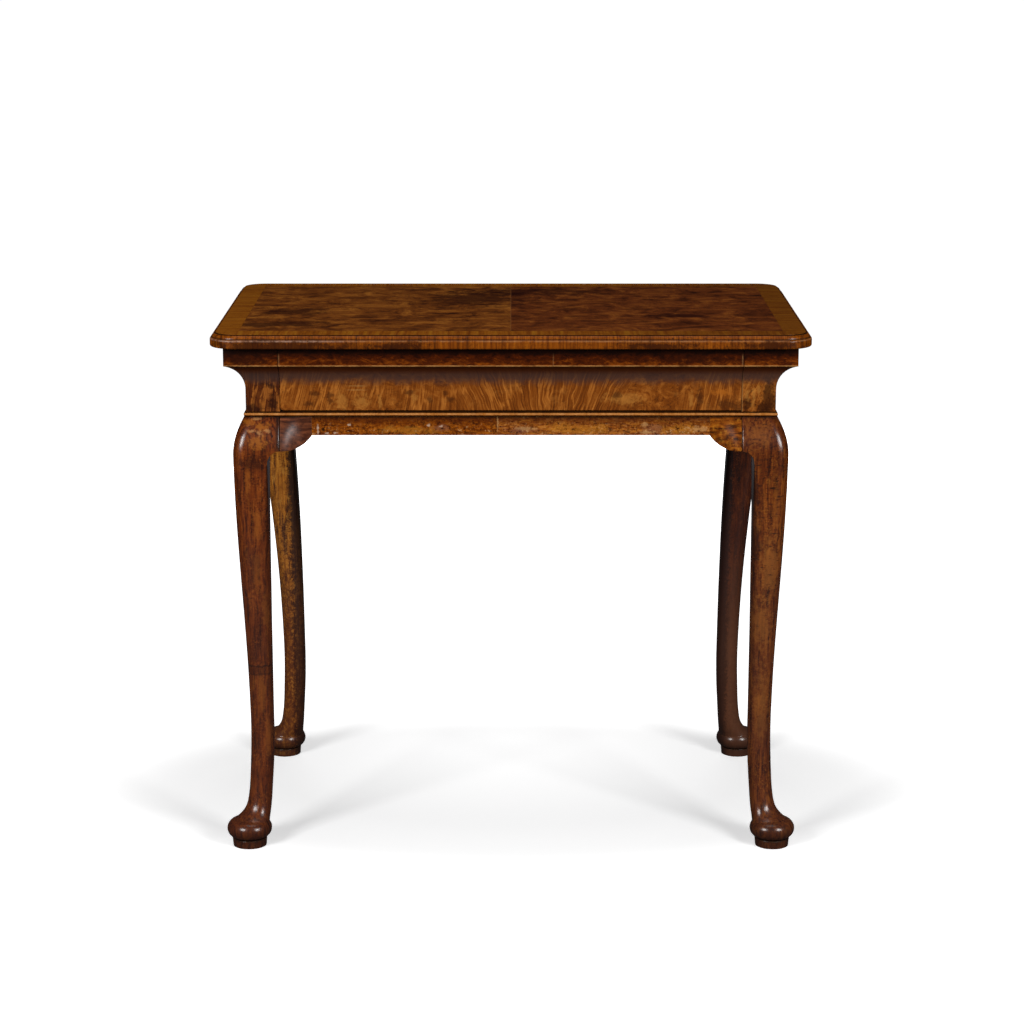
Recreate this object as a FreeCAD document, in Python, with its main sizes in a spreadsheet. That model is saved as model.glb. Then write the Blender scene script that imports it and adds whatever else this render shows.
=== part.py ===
"""Walnut centre table: veneered top, hollow-moulded frieze with a concealed drawer, cabriole legs.

The origin is on the floor under the middle of the top. +Z is up, +X is to the right along the long
side, and the drawer opens to the front, -Y. Lengths are in millimetres.
"""
import FreeCAD
import Part
import Sketcher
import math
import os
import re

doc = FreeCAD.newDocument("centre_table")

# Driving dimensions
sizes = {
    # Whole table
    "overall_width": 791,
    "overall_depth": 483,
    "overall_height": 711,
    # Top
    "top_thickness": 18.5,
    "corner_radius": 36,
    "veneer_thickness": 1.6,
    "crossband_width": 30,
    "edge_width": 8,
    "edge_under_round": 2.2,
    "arris_height": 9.2,
    "arris_round": 3,
    "quirk_drop": 1.2,
    # Frieze, bead and rail facings
    "top_overhang": 18.5,
    "fascia_height": 25.5,
    "cavetto_height": 35,
    "cavetto_projection": 26,
    "frieze_foot": 30,
    "facing_thickness": 12,
    "bead_height": 6.6,
    "bead_projection": 2.9,
    "facing_height": 25.5,
    "facing_joint_distance": 18.6,
    # Rails and their joints
    "rail_thickness": 22,
    "drawer_rail_depth": 50,
    "tenon_thickness": 10,
    "tenon_shoulder": 12,
    "drawer_rail_shoulder": 6,
    "joint_gap": 0.15,
    "peg_diameter": 6,
    "peg_stop": 5,
    # Legs
    "leg_width": 45,
    "knee_top_step": 2,
    "knee_projection": 18,
    "knee_drop": 50,
    "knee_corner_radius": 14,
    "knee_side_radius": 2.5,
    "shaft_inset": 28.3,
    "round_height": 300,
    "ankle_height": 150,
    "ankle_projection": 3.5,
    "foot_reach": 6.5,
    "pad_radius": 30.5,
    "pad_top": 37.3,
    "disc_height": 11.2,
    "disc_radius": 22.7,
    "disc_flare": 1,
    "back_leg_lean": 16,
    # Knee brackets
    "bracket_length": 42,
    "bracket_drop": 18.5,
    "bracket_fullness": 2,
    "bracket_gap": 0.4,
    # Drawer supports
    "runner_width": 28,
    "runner_height": 20,
    "guide_height": 20,
    "kicker_height": 11,
    "kicker_gap": 1.6,
    "stop_distance": 180,
    "stop_length": 40,
    "stop_depth": 15,
    "stop_height": 5.5,
    "glue_block_length": 50,
    "glue_block_size": 20,
    # Drawer
    "drawer_side_gap": 0.7,
    "drawer_foot_gap": 1.6,
    "drawer_head_gap": 0.8,
    "drawer_lift": 0.3,
    "drawer_back_gap": 5,
    "drawer_front_thickness": 20,
    "drawer_side_thickness": 9.5,
    "drawer_back_thickness": 9.5,
    "drawer_back_drop": 4,
    "drawer_bottom_thickness": 7,
    "drawer_bottom_rise": 8,
    "groove_depth": 5,
    "front_tail_length": 12,
    "nail_diameter": 2.2,
    "nail_length": 20,
    # Overrun of every cut past the face that it opens
    "overrun": 2,
}

sheet = doc.addObject("Spreadsheet::Sheet", "Sizes")
for row, (alias, value) in enumerate(sizes.items(), start=1):
    sheet.set(f"A{row}", alias)
    sheet.set(f"B{row}", str(value))
    sheet.setAlias(f"B{row}", alias)
doc.recompute()

# Shares of the sizes that they follow
side_peg_shares = (0.30, 0.70)
back_peg_shares = (0.42, 0.82)
glue_block_shares = (-0.6, -0.2, 0.2, 0.6)
nail_shares = (-0.8, -0.4, 0, 0.4, 0.8)
tail_wide_share = 0.66
tail_neck_share = 0.46
knee_level_shares = (0, 0.12, 0.26, 0.42, 0.58, 0.76, 1)
shaft_level_shares = (1, 0.975, 0.94, 0.88, 0.78, 0.66, 0.54, 0.40, 0.26, 0.12, 0)
round_start_share = 0.03
round_end_share = 0.985
round_growth = 0.6
lean_growth = 3
instep_level_shares = (0.80, 0.66, 0.547, 0.444, 0.34, 0.287, 0.237, 0.15)
instep_reach_shares = (0.045, 0.10, 0.157, 0.229, 0.37, 0.545, 0.805, 0.95)
instep_swell_shares = (0.0, -0.01, -0.015, 0.01, 0.10, 0.26, 0.54, 0.76)
bracket_station_shares = (0, 0.10, 0.22, 0.50, 0.75, 1)
bracket_bulge_shares = (1.00, 0.93, 0.81, 0.38, 0.10, 0)
bracket_level_shares = (0, 0.25, 0.5, 0.75, 1)

# Planes and faces of the table, as expressions of the sizes
underside = "(overall_height - top_thickness)"
bead_top = f"({underside} - fascia_height - cavetto_height - frieze_foot)"
shoulder = f"({bead_top} - bead_height)"
rail_bottom = f"({shoulder} - facing_height)"
bracket_bottom = f"({rail_bottom} - bracket_drop)"
frame_x = "(overall_width / 2 - top_overhang - cavetto_projection)"
frame_y = "(overall_depth / 2 - top_overhang - cavetto_projection)"
post_x = f"({frame_x} - facing_thickness)"
post_y = f"({frame_y} - facing_thickness)"
inner_x = f"({frame_x} - leg_width)"
inner_y = f"({frame_y} - leg_width)"
rail_inner_x = f"({post_x} - rail_thickness)"
rail_inner_y = f"({post_y} - rail_thickness)"
tenon_reach = (
    "(leg_width - facing_thickness - rail_thickness / 2 - tenon_thickness / 2 - joint_gap)"
)
peg_length = "(leg_width - facing_thickness - peg_stop)"
frieze_height = "(frieze_foot + cavetto_height + fascia_height)"
frieze_reach = "(facing_thickness + cavetto_projection)"
cavetto_radius = (
    "((cavetto_projection ^ 2 + cavetto_height ^ 2) / (2 * cavetto_projection))"
)
bead_radius = "((bead_height ^ 2 / 4 + bead_projection ^ 2) / (2 * bead_projection))"
bracket_far_x = f"({inner_x} - bracket_length)"
bracket_far_y = f"({inner_y} - bracket_length)"

pieces = {}


def bound(text):
    """An expression with each size name turned into a reference to its cell."""
    return re.sub("[a-z_]+", lambda word: f"Sizes.{word[0]}" if word[0] in sizes else word[0], text)


def size(text):
    """The value of an expression of sizes."""
    return float(sheet.evalExpression(bound(text)))


def bind(item, **values):
    """Tie properties of an object to expressions of the sizes."""
    for name, text in values.items():
        item.setExpression(name, bound(text))


def place(item, x="0", y="0", z="0", turn=0):
    """Place an object, turned about the upright axis by an angle in degrees."""
    item.Placement.Rotation = FreeCAD.Rotation(FreeCAD.Vector(0, 0, 1), turn)
    for axis, text in zip("xyz", (x, y, z)):
        item.setExpression(f"Placement.Base.{axis}", bound(text))


def keep(label, item):
    """Register an object as a finished piece of the table."""
    item.Label = label
    pieces[label] = item
    return item


def box(name, x, y, z):
    """A squared length of wood between pairs of planes."""
    item = doc.addObject("Part::Box", name)
    bind(
        item,
        Length=f"({x[1]}) - ({x[0]})",
        Width=f"({y[1]}) - ({y[0]})",
        Height=f"({z[1]}) - ({z[0]})",
    )
    place(item, x[0], y[0], z[0])
    return item


def joined(name, items):
    """One solid from solids that meet face to face."""
    item = doc.addObject("Part::MultiFuse", name)
    item.Shapes = items
    item.Refine = True
    return item


def cut(name, base, tools):
    """A solid with the tools cut away."""
    item = doc.addObject("Part::Cut", name)
    item.Base = base
    item.Tool = tools[0] if len(tools) == 1 else joined(f"{name}_tools", tools)
    item.Refine = True
    return item


def group(name, items):
    """Separate like solids that share one name."""
    item = doc.addObject("Part::Compound", name)
    item.Links = items
    return item


def mirrored(name, source, normal):
    """A second piece on the other side of the table's middle plane."""
    item = doc.addObject("Part::Mirroring", name)
    item.Source = source
    item.Normal = FreeCAD.Vector(*normal)
    return item


def across(name, source):
    return mirrored(name, source, (1, 0, 0))


def behind(name, source):
    return mirrored(name, source, (0, 1, 0))


def add_loop(sketch, points, arcs):
    """Draw a closed loop. An arc is given by the number of its first point, with its centre and
    whether it turns to the left."""
    spots = [FreeCAD.Vector(size(u), size(v), 0) for u, v in points]
    first = sketch.GeometryCount
    starts = []
    ends = []
    for index, spot in enumerate(spots):
        following = spots[(index + 1) % len(spots)]
        if index not in arcs:
            sketch.addGeometry(Part.LineSegment(spot, following), False)
            starts.append(1)
            ends.append(2)
            continue
        centre_u, centre_v, left = arcs[index]
        centre = FreeCAD.Vector(size(centre_u), size(centre_v), 0)
        side = 1 if left else -1
        chord = following - spot
        towards = FreeCAD.Vector(chord.y, -chord.x, 0).normalize() * side
        middle = centre + towards * (spot - centre).Length
        sketch.addGeometry(Part.Arc(spot, middle, following), False)
        starts.append(1 if left else 2)
        ends.append(2 if left else 1)
    for index, (u, v) in enumerate(points):
        edge = first + index
        after = (index + 1) % len(points)
        sketch.addConstraint(
            Sketcher.Constraint("Coincident", edge, ends[index], first + after, starts[after])
        )
        for kind, text in (("DistanceX", u), ("DistanceY", v)):
            tie(sketch, kind, edge, starts[index], text)
        if index in arcs:
            centre_u, centre_v, left = arcs[index]
            chord = spots[after] - spots[index]
            if abs(chord.y) > abs(chord.x):
                tie(sketch, "DistanceX", edge, 3, centre_u)
            else:
                tie(sketch, "DistanceY", edge, 3, centre_v)


def tie(sketch, kind, edge, vertex, text):
    """Fix one coordinate of a sketch point to an expression of the sizes."""
    number = sketch.addConstraint(
        Sketcher.Constraint(kind, -1, 1, edge, vertex, size(text))
    )
    sketch.renameConstraint(number, f"place{number}")
    sketch.setExpression(f"Constraints.place{number}", bound(text))


def drawn(body, name, plane, loops, offset=("0", "0", "0")):
    """A sketch on one of a body's own planes, with any number of closed loops."""
    sketch = body.newObject("Sketcher::SketchObject", name)
    support = next(item for item in body.Origin.OriginFeatures if item.Role == plane)
    sketch.AttachmentSupport = (support, [""])
    sketch.MapMode = "FlatFace"
    for axis, text in zip("xyz", offset):
        sketch.setExpression(f"AttachmentOffset.Base.{axis}", bound(text))
    for points, arcs in loops:
        add_loop(sketch, points, arcs)
    return sketch


def pad(body, name, sketch, length, symmetric=False, reverse=False):
    feature = body.newObject("PartDesign::Pad", name)
    feature.Profile = sketch
    feature.SideType = "Symmetric" if symmetric else "One side"
    feature.Reversed = reverse
    bind(feature, Length=length)
    return feature


def new_body(label):
    return doc.addObject("PartDesign::Body", label)


def sheet_outline(half_long, half_out, corner):
    """A rectangle with round corners, about the middle."""
    run = f"({half_long} - {corner})"
    rise = f"({half_out} - {corner})"
    points = [
        (f"-{run}", f"-{half_out}"),
        (run, f"-{half_out}"),
        (half_long, f"-{rise}"),
        (half_long, rise),
        (run, half_out),
        (f"-{run}", half_out),
        (f"-{half_long}", rise),
        (f"-{half_long}", f"-{rise}"),
    ]
    arcs = {
        1: (run, f"-{rise}", True),
        3: (run, rise, True),
        5: (f"-{run}", rise, True),
        7: (f"-{run}", f"-{rise}", True),
    }
    return points, arcs


# Top board, under the veneer
board_half_x = "(overall_width / 2 - edge_width)"
board_half_y = "(overall_depth / 2 - edge_width)"
board_corner = "(corner_radius - edge_width)"
top_board = new_body("top_board")
top_outline = drawn(
    top_board, "top_outline", "XY_Plane", [sheet_outline(board_half_x, board_half_y, board_corner)]
)
pad(top_board, "top_pad", top_outline, "top_thickness - veneer_thickness")
place(top_board, z=underside)
keep("top_board", top_board)


# Crossbands, mitred at the corners of the top
def crossband(label, half_long, half_out, turn):
    corner_in = f"({board_corner} * (1 - sqrt(0.5)))"
    run = f"({half_long} - {board_corner})"
    rise = f"({half_out} - {board_corner})"
    field_long = f"({half_long} - crossband_width)"
    field_out = f"({half_out} - crossband_width)"
    points = [
        (f"-{field_long}", field_out),
        (field_long, field_out),
        (f"{half_long} - {corner_in}", f"{half_out} - {corner_in}"),
        (run, half_out),
        (f"-{run}", half_out),
        (f"-({half_long} - {corner_in})", f"{half_out} - {corner_in}"),
    ]
    arcs = {2: (run, rise, True), 4: (f"-{run}", rise, True)}
    body = new_body(label)
    shape = drawn(body, f"{label}_outline", "XY_Plane", [(points, arcs)])
    pad(body, f"{label}_pad", shape, "veneer_thickness")
    place(body, z="overall_height - veneer_thickness", turn=turn)
    return keep(label, body)


crossband("crossband_back", board_half_x, board_half_y, 0)
crossband("crossband_front", board_half_x, board_half_y, 180)
crossband("crossband_left", board_half_y, board_half_x, 90)
crossband("crossband_right", board_half_y, board_half_x, -90)

# Two matched leaves of burr veneer inside the crossbands
field_x = f"({board_half_x} - crossband_width)"
field_y = f"({board_half_y} - crossband_width)"
veneer_left = box(
    "veneer_left",
    (f"-{field_x}", "0"),
    (f"-{field_y}", field_y),
    ("overall_height - veneer_thickness", "overall_height"),
)
keep("veneer_left", veneer_left)
keep("veneer_right", across("veneer_right", veneer_left))


# Edge mouldings: thumb, quirk and nose, run along one side and half way round its two corners
def edge_profile():
    back = "(corner_radius - edge_width)"
    face = "corner_radius"
    thumb_top = "(top_thickness - quirk_drop)"
    thumb_foot = "(arris_height + arris_round)"
    thumb_run = "(edge_width - arris_round)"
    thumb_rise = f"({thumb_top} - {thumb_foot})"
    thumb_radius = f"(({thumb_run} ^ 2 + {thumb_rise} ^ 2) / (2 * {thumb_rise}))"
    points = [
        (back, "0"),
        (f"{face} - edge_under_round", "0"),
        (face, "edge_under_round"),
        (face, "arris_height"),
        (f"{face} - arris_round", thumb_foot),
        (back, thumb_top),
    ]
    arcs = {
        1: (f"{face} - edge_under_round", "edge_under_round", True),
        3: (f"{face} - arris_round", "arris_height", True),
        4: (back, f"{thumb_top} - {thumb_radius}", True),
    }
    return points, arcs


def edge_moulding(label, half_long, half_out, turn):
    body = new_body(label)
    run = f"({half_long} - corner_radius)"
    rise = f"({half_out} - corner_radius)"
    near = drawn(body, f"{label}_near", "YZ_Plane", [edge_profile()], (rise, underside, run))
    pad(body, f"{label}_pad", near, f"2 * {run}", reverse=True)
    far = drawn(body, f"{label}_far", "YZ_Plane", [edge_profile()], (rise, underside, f"-{run}"))
    for end, sketch, reverse in (("near", near, True), ("far", far, False)):
        corner = body.newObject("PartDesign::Revolution", f"{label}_{end}_corner")
        corner.Profile = sketch
        corner.ReferenceAxis = (sketch, ["V_Axis"])
        corner.Angle = 45
        corner.Reversed = reverse
    place(body, turn=turn)
    return keep(label, body)


half_width = "(overall_width / 2)"
half_depth = "(overall_depth / 2)"
edge_moulding("edge_moulding_back", half_width, half_depth, 0)
edge_moulding("edge_moulding_front", half_width, half_depth, 180)
edge_moulding("edge_moulding_left", half_depth, half_width, 90)
edge_moulding("edge_moulding_right", half_depth, half_width, -90)


# Mouldings that stand on the posts' faces and meet in mitres
def mitre(half_long, reach, side):
    """The waste beyond a mitre, at one end of a moulding."""
    far = f"({half_long} + {reach} + overrun)"
    return (
        [
            (f"{side} * ({half_long} - overrun)", "-overrun"),
            (f"{side} * {far}", f"{reach} + overrun"),
            (f"{side} * {far}", "-overrun"),
        ],
        {},
    )


def moulding(label, profile, reach, half_long, half_out, base, turn, start=None):
    """A moulding along one side, or its end beyond a start, with its back on the posts."""
    body = new_body(label)
    end = f"({half_long} + {reach})"
    shape = drawn(body, f"{label}_profile", "YZ_Plane", [profile], ("0", "0", start or "0"))
    if start:
        pad(body, f"{label}_pad", shape, f"{end} - {start}")
        waste = [mitre(half_long, reach, "1")]
    else:
        pad(body, f"{label}_pad", shape, f"2 * {end}", symmetric=True)
        waste = [mitre(half_long, reach, "1"), mitre(half_long, reach, "-1")]
    sawn = body.newObject("PartDesign::Pocket", f"{label}_mitres")
    sawn.Profile = drawn(body, f"{label}_waste", "XY_Plane", waste)
    sawn.Type = "ThroughAll"
    sawn.SideType = "Symmetric"
    out = {0: ("0", half_out), 180: ("0", f"-{half_out}"), 90: (f"-{half_out}", "0"),
           -90: (half_out, "0")}[turn]
    place(body, *out, base, turn)
    return keep(label, body)


# Bead under the frieze
bead_profile = (
    [
        ("0", "0"),
        ("facing_thickness", "0"),
        ("facing_thickness", "bead_height"),
        ("0", "bead_height"),
    ],
    {1: (f"facing_thickness + bead_projection - {bead_radius}", "bead_height / 2", True)},
)
bead_reach = "(facing_thickness + bead_projection)"
moulding("bead_back", bead_profile, bead_reach, post_x, post_y, shoulder, 0)
moulding("bead_front", bead_profile, bead_reach, post_x, post_y, shoulder, 180)
moulding("bead_left", bead_profile, bead_reach, post_y, post_x, shoulder, 90)
moulding("bead_right", bead_profile, bead_reach, post_y, post_x, shoulder, -90)


# Frieze: upright fascia over a hollow, with a short return on each side of the drawer
def frieze_profile(back="0", foot="0", head=frieze_height):
    fascia_foot = "(frieze_foot + cavetto_height)"
    points = [
        (back, foot),
        ("facing_thickness", foot),
        ("facing_thickness", "frieze_foot"),
        (frieze_reach, fascia_foot),
        (frieze_reach, head),
        (back, head),
    ]
    return points, {2: (f"facing_thickness + {cavetto_radius}", "frieze_foot", False)}


moulding("frieze_back", frieze_profile(), frieze_reach, post_x, post_y, bead_top, 0)
moulding("frieze_left", frieze_profile(), frieze_reach, post_y, post_x, bead_top, 90)
moulding("frieze_right", frieze_profile(), frieze_reach, post_y, post_x, bead_top, -90)
return_left = moulding(
    "frieze_return_left", frieze_profile(), frieze_reach, post_x, post_y, bead_top, 180, inner_x
)
keep("frieze_return_right", across("frieze_return_right", return_left))

# Facings on the rails, between the knee brackets, the front one in two lengths
facing_levels = (rail_bottom, shoulder)
keep(
    "facing_front_left",
    box(
        "facing_front_left",
        (f"-{bracket_far_x}", "-facing_joint_distance"),
        (f"-{frame_y}", f"-{post_y}"),
        facing_levels,
    ),
)
keep(
    "facing_front_right",
    box(
        "facing_front_right",
        ("-facing_joint_distance", bracket_far_x),
        (f"-{frame_y}", f"-{post_y}"),
        facing_levels,
    ),
)
keep(
    "facing_back",
    box("facing_back", (f"-{bracket_far_x}", bracket_far_x), (post_y, frame_y), facing_levels),
)
facing_left = box(
    "facing_left", (f"-{frame_x}", f"-{post_x}"), (f"-{bracket_far_y}", bracket_far_y), facing_levels
)
keep("facing_left", facing_left)
keep("facing_right", across("facing_right", facing_left))


# Tenons, their mortises and the pegs that hold them
def tenon_across(name, levels, grow="0"):
    """Tenon of a side rail in a back right post, or its mortise when grown."""
    middle = f"({post_x} - rail_thickness / 2)"
    return box(
        name,
        (f"{middle} - tenon_thickness / 2 - {grow}", f"{middle} + tenon_thickness / 2 + {grow}"),
        (f"{inner_y} - {grow}", f"{inner_y} + {tenon_reach} + {grow}"),
        (f"{levels[0]} - {grow}", f"{levels[1]} + {grow}"),
    )


def tenon_along(name, levels, grow="0"):
    """Tenon of a back or drawer rail in a back right post, or its mortise when grown."""
    middle = f"({post_y} - rail_thickness / 2)"
    return box(
        name,
        (f"{inner_x} - {grow}", f"{inner_x} + {tenon_reach} + {grow}"),
        (f"{middle} - tenon_thickness / 2 - {grow}", f"{middle} + tenon_thickness / 2 + {grow}"),
        (f"{levels[0]} - {grow}", f"{levels[1]} + {grow}"),
    )


def rod(name, diameter, length, x, y, z, tilt):
    """A round rod from a point, along the axis that a tilt of the upright gives."""
    item = doc.addObject("Part::Cylinder", name)
    bind(item, Radius=f"({diameter}) / 2", Height=length)
    place(item, x, y, z)
    item.Placement.Rotation = tilt
    return item


inwards_x = FreeCAD.Rotation(FreeCAD.Vector(0, 1, 0), -90)
inwards_y = FreeCAD.Rotation(FreeCAD.Vector(1, 0, 0), 90)
upwards = FreeCAD.Rotation()
rail_levels = (f"{rail_bottom} + tenon_shoulder", f"{underside} - tenon_shoulder")
drawer_rail_levels = (f"{rail_bottom} + drawer_rail_shoulder", f"{bead_top} - drawer_rail_shoulder")


def peg_level(share):
    return f"{rail_bottom} + ({underside} - {rail_bottom}) * {share}"


def pegs_across(name, grow="0"):
    """Pegs of a side rail in a back right post, or their holes when grown."""
    return [
        rod(
            f"{name}_{number}",
            f"peg_diameter + 2 * {grow}",
            f"{peg_length} + {grow}",
            post_x,
            f"{inner_y} + {tenon_reach} / 2",
            peg_level(share),
            inwards_x,
        )
        for number, share in enumerate(side_peg_shares)
    ]


def pegs_along(name, grow="0"):
    """Pegs of the back rail in a back right post, or their holes when grown."""
    return [
        rod(
            f"{name}_{number}",
            f"peg_diameter + 2 * {grow}",
            f"{peg_length} + {grow}",
            f"{inner_x} + {tenon_reach} / 2",
            post_y,
            peg_level(share),
            inwards_y,
        )
        for number, share in enumerate(back_peg_shares)
    ]


# Rails: the sides and back are full boards, the front one is the low rail under the drawer
def tenoned(label, board, tenon, mirror, holes):
    """A rail with a tenon at each end, bored for its pegs."""
    whole = joined(f"{label}_whole", [board, tenon, mirror(f"{label}_far_tenon", tenon)])
    if not holes:
        return whole
    far_holes = [mirror(f"{hole.Name}_far", hole) for hole in holes]
    return cut(f"{label}_bored", whole, holes + far_holes)


rail_right = tenoned(
    "rail_right",
    box(
        "rail_right_board",
        (rail_inner_x, post_x),
        (f"-{inner_y}", inner_y),
        (rail_bottom, underside),
    ),
    tenon_across("rail_right_tenon", rail_levels),
    behind,
    pegs_across("rail_right_bore", "joint_gap"),
)
keep("rail_right", rail_right)
keep("rail_left", across("rail_left", rail_right))
rail_back = tenoned(
    "rail_back",
    box(
        "rail_back_board",
        (f"-{inner_x}", inner_x),
        (rail_inner_y, post_y),
        (rail_bottom, underside),
    ),
    tenon_along("rail_back_tenon", rail_levels),
    across,
    pegs_along("rail_back_bore", "joint_gap"),
)
keep("rail_back", rail_back)
drawer_rail = tenoned(
    "drawer_rail",
    box(
        "drawer_rail_board",
        (f"-{inner_x}", inner_x),
        (f"-{post_y}", f"-{post_y} + drawer_rail_depth"),
        (rail_bottom, bead_top),
    ),
    behind("drawer_rail_tenon", tenon_along("drawer_rail_tenon_behind", drawer_rail_levels)),
    across,
    [],
)
keep("drawer_rail", drawer_rail)

peg_right = pegs_across("peg_right")
peg_back = pegs_along("peg_back")
pegs = peg_right + [behind(f"{peg.Name}_front", peg) for peg in peg_right] + peg_back
pegs += [across(f"{peg.Name}_left", peg) for peg in pegs]
keep("tenon_pegs", group("tenon_pegs", pegs))


# Cabriole legs, each carved from one length with its square post
def eased(share):
    """An S curve from 0 to 1 that starts and ends level."""
    return share * share * (3 - 2 * share)


def knee_offset(level):
    """How far the outside of the leg stands beyond the frame at a height above the ankle."""
    knee_level = size(f"{shoulder} - knee_drop")
    step = size("knee_top_step")
    swell = size("knee_projection")
    if level >= knee_level:
        share = (size(shoulder) - level) / size("knee_drop")
        return step + (swell - step) * (1 - (1 - share) ** 2)
    ankle = size("ankle_projection")
    share = (level - size("ankle_height")) / (knee_level - size("ankle_height"))
    return ankle + (swell - ankle) * eased(share)


def leg_section(level, low, high, radii):
    """A square with four round corners at a height: its low and high corners in plan, then the
    radii of the inner corner, the two side corners and the outer corner."""
    inner, side, outer = radii
    corners = [
        (low[0], low[1], 1, 1, inner),
        (high[0], low[1], -1, 1, side),
        (high[0], high[1], -1, -1, outer),
        (low[0], high[1], 1, -1, side),
    ]
    edges = []
    ends = []
    for x, y, along, up, radius in corners:
        centre = FreeCAD.Vector(x + along * radius, y + up * radius, level)
        flat = FreeCAD.Vector(-along * radius, 0, 0)
        upright = FreeCAD.Vector(0, -up * radius, 0)
        first, last = (flat, upright) if along == up else (upright, flat)
        middle = (flat + upright) * math.sqrt(0.5)
        edges.append(Part.Arc(centre + first, centre + middle, centre + last).toShape())
        ends.append((centre + first, centre + last))
    wire = []
    for index, arc in enumerate(edges):
        wire.append(arc)
        following = ends[(index + 1) % len(ends)]
        wire.append(Part.LineSegment(ends[index][1], following[0]).toShape())
    return Part.Wire(wire)


def knee_shape():
    """The block of the knee, with a hollow under it on its two inner sides."""
    top = size(shoulder)
    hollow = size("leg_width - shaft_inset")
    bottom = size(bracket_bottom) - hollow
    radii = (size("knee_side_radius"), size("knee_side_radius"), size("knee_corner_radius"))
    low = (size(inner_x), size(inner_y))
    wires = []
    for share in knee_level_shares:
        level = top + (bottom - top) * share
        offset = knee_offset(level)
        high = (size(frame_x) + offset, size(frame_y) + offset)
        wires.append(leg_section(level, low, high, radii))
    block = Part.makeLoft(wires, True)
    length = size("leg_width + 2 * knee_projection")
    arches = [
        Part.makeCylinder(
            hollow,
            length,
            FreeCAD.Vector(low[0], low[1] - size("overrun"), bottom),
            FreeCAD.Vector(0, 1, 0),
        ),
        Part.makeCylinder(
            hollow,
            length,
            FreeCAD.Vector(low[0] - size("overrun"), low[1], bottom),
            FreeCAD.Vector(1, 0, 0),
        ),
    ]
    return block.cut(arches)


def shaft_shape(lean):
    """The shaft from the knee to the pad, square above and round below, leaning in at its foot."""
    top = size(f"{bracket_bottom} - (leg_width - shaft_inset)")
    ankle = size("ankle_height")
    frame = FreeCAD.Vector(size(frame_x), size(frame_y), 0)
    ankle_half = size("(ankle_projection + shaft_inset) / 2")
    ankle_middle = size("(ankle_projection - shaft_inset) / 2")
    wires = []
    for share in shaft_level_shares:
        level = ankle + (top - ankle) * share
        half = (knee_offset(level) + size("shaft_inset")) / 2
        middle = (knee_offset(level) - size("shaft_inset")) / 2
        turned = min(1, (top - level) / (top - size("round_height"))) ** round_growth
        side = half * (round_start_share + (round_end_share - round_start_share) * turned)
        corner = size("knee_corner_radius")
        outer = corner + (half * round_end_share - corner) * turned
        wires.append(shaft_section(frame, level, middle, half, (side, side, outer), lean, top))
    for number, share in enumerate(instep_level_shares):
        reach = size("foot_reach") - ankle_middle
        middle = ankle_middle + reach * instep_reach_shares[number]
        half = ankle_half + (size("pad_radius") - ankle_half) * instep_swell_shares[number]
        radius = half * round_end_share
        wires.append(
            shaft_section(frame, ankle * share, middle, half, (radius, radius, radius), lean, top)
        )
    return Part.makeLoft(wires, True)


def shaft_section(frame, level, middle, half, radii, lean, top):
    shift = lean * (1 - (level / top) ** lean_growth)
    low = (frame.x + middle - half - shift, frame.y + middle - half)
    high = (frame.x + middle + half - shift, frame.y + middle + half)
    return leg_section(level, low, high, radii)


def foot_shape(lean):
    """The turned pad with the disc under it."""
    rise = size("(pad_top - disc_height) / 2")
    ring = size("pad_radius") - rise
    middle = size("disc_height") + rise
    foot = FreeCAD.Vector(0, 0, 0)
    head = FreeCAD.Vector(0, 0, size("pad_top"))
    bun_low = FreeCAD.Vector(ring, 0, size("disc_height"))
    bun_high = FreeCAD.Vector(ring, 0, size("pad_top"))
    disc = [
        foot,
        FreeCAD.Vector(size("disc_radius"), 0, 0),
        FreeCAD.Vector(size("disc_radius + disc_flare"), 0, size("disc_height")),
        bun_low,
    ]
    bun = Part.Arc(bun_low, FreeCAD.Vector(size("pad_radius"), 0, middle), bun_high)
    outline = [Part.makePolygon(disc), bun.toShape(), Part.makePolygon([bun_high, head, foot])]
    face = Part.Face(Part.Wire([edge for length in outline for edge in length.Edges]))
    turned = face.revolve(FreeCAD.Vector(0, 0, 0), FreeCAD.Vector(0, 0, 1), 360)
    turned.translate(
        FreeCAD.Vector(size(f"{frame_x} + foot_reach") - lean, size(f"{frame_y} + foot_reach"), 0)
    )
    return turned


def leg_shape(lean, joints):
    """A back right leg with its post, less the mortises and peg holes."""
    post = Part.makeBox(
        size("leg_width - facing_thickness"),
        size("leg_width - facing_thickness"),
        size(f"{underside} - {shoulder}"),
        FreeCAD.Vector(size(inner_x), size(inner_y), size(shoulder)),
    )
    whole = knee_shape()
    for length in (shaft_shape(lean), foot_shape(lean), post):
        whole = whole.fuse(length)
    return whole.cut([joint.Shape for joint in joints]).removeSplitter()


def leg(name, lean, joints, turn):
    item = doc.addObject("Part::Feature", name)
    item.Shape = leg_shape(lean, joints)
    place(item, turn=turn)
    return item


side_mortise = tenon_across("side_mortise", rail_levels, "joint_gap")
back_mortise = tenon_along("back_mortise", rail_levels, "joint_gap")
front_mortise = tenon_along("front_mortise", drawer_rail_levels, "joint_gap")
side_bores = pegs_across("side_bore", "joint_gap")
back_bores = pegs_along("back_bore", "joint_gap")
doc.recompute()
leg_back_right = leg(
    "leg_back_right",
    size("back_leg_lean"),
    [side_mortise, back_mortise] + side_bores + back_bores,
    0,
)
leg_front_left = leg("leg_front_left", 0, [side_mortise, front_mortise] + side_bores, 180)
keep("leg_front_left", leg_front_left)
keep("leg_front_right", across("leg_front_right", leg_front_left))
keep("leg_back_left", across("leg_back_left", leg_back_right))
keep("leg_back_right", leg_back_right)


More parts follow.
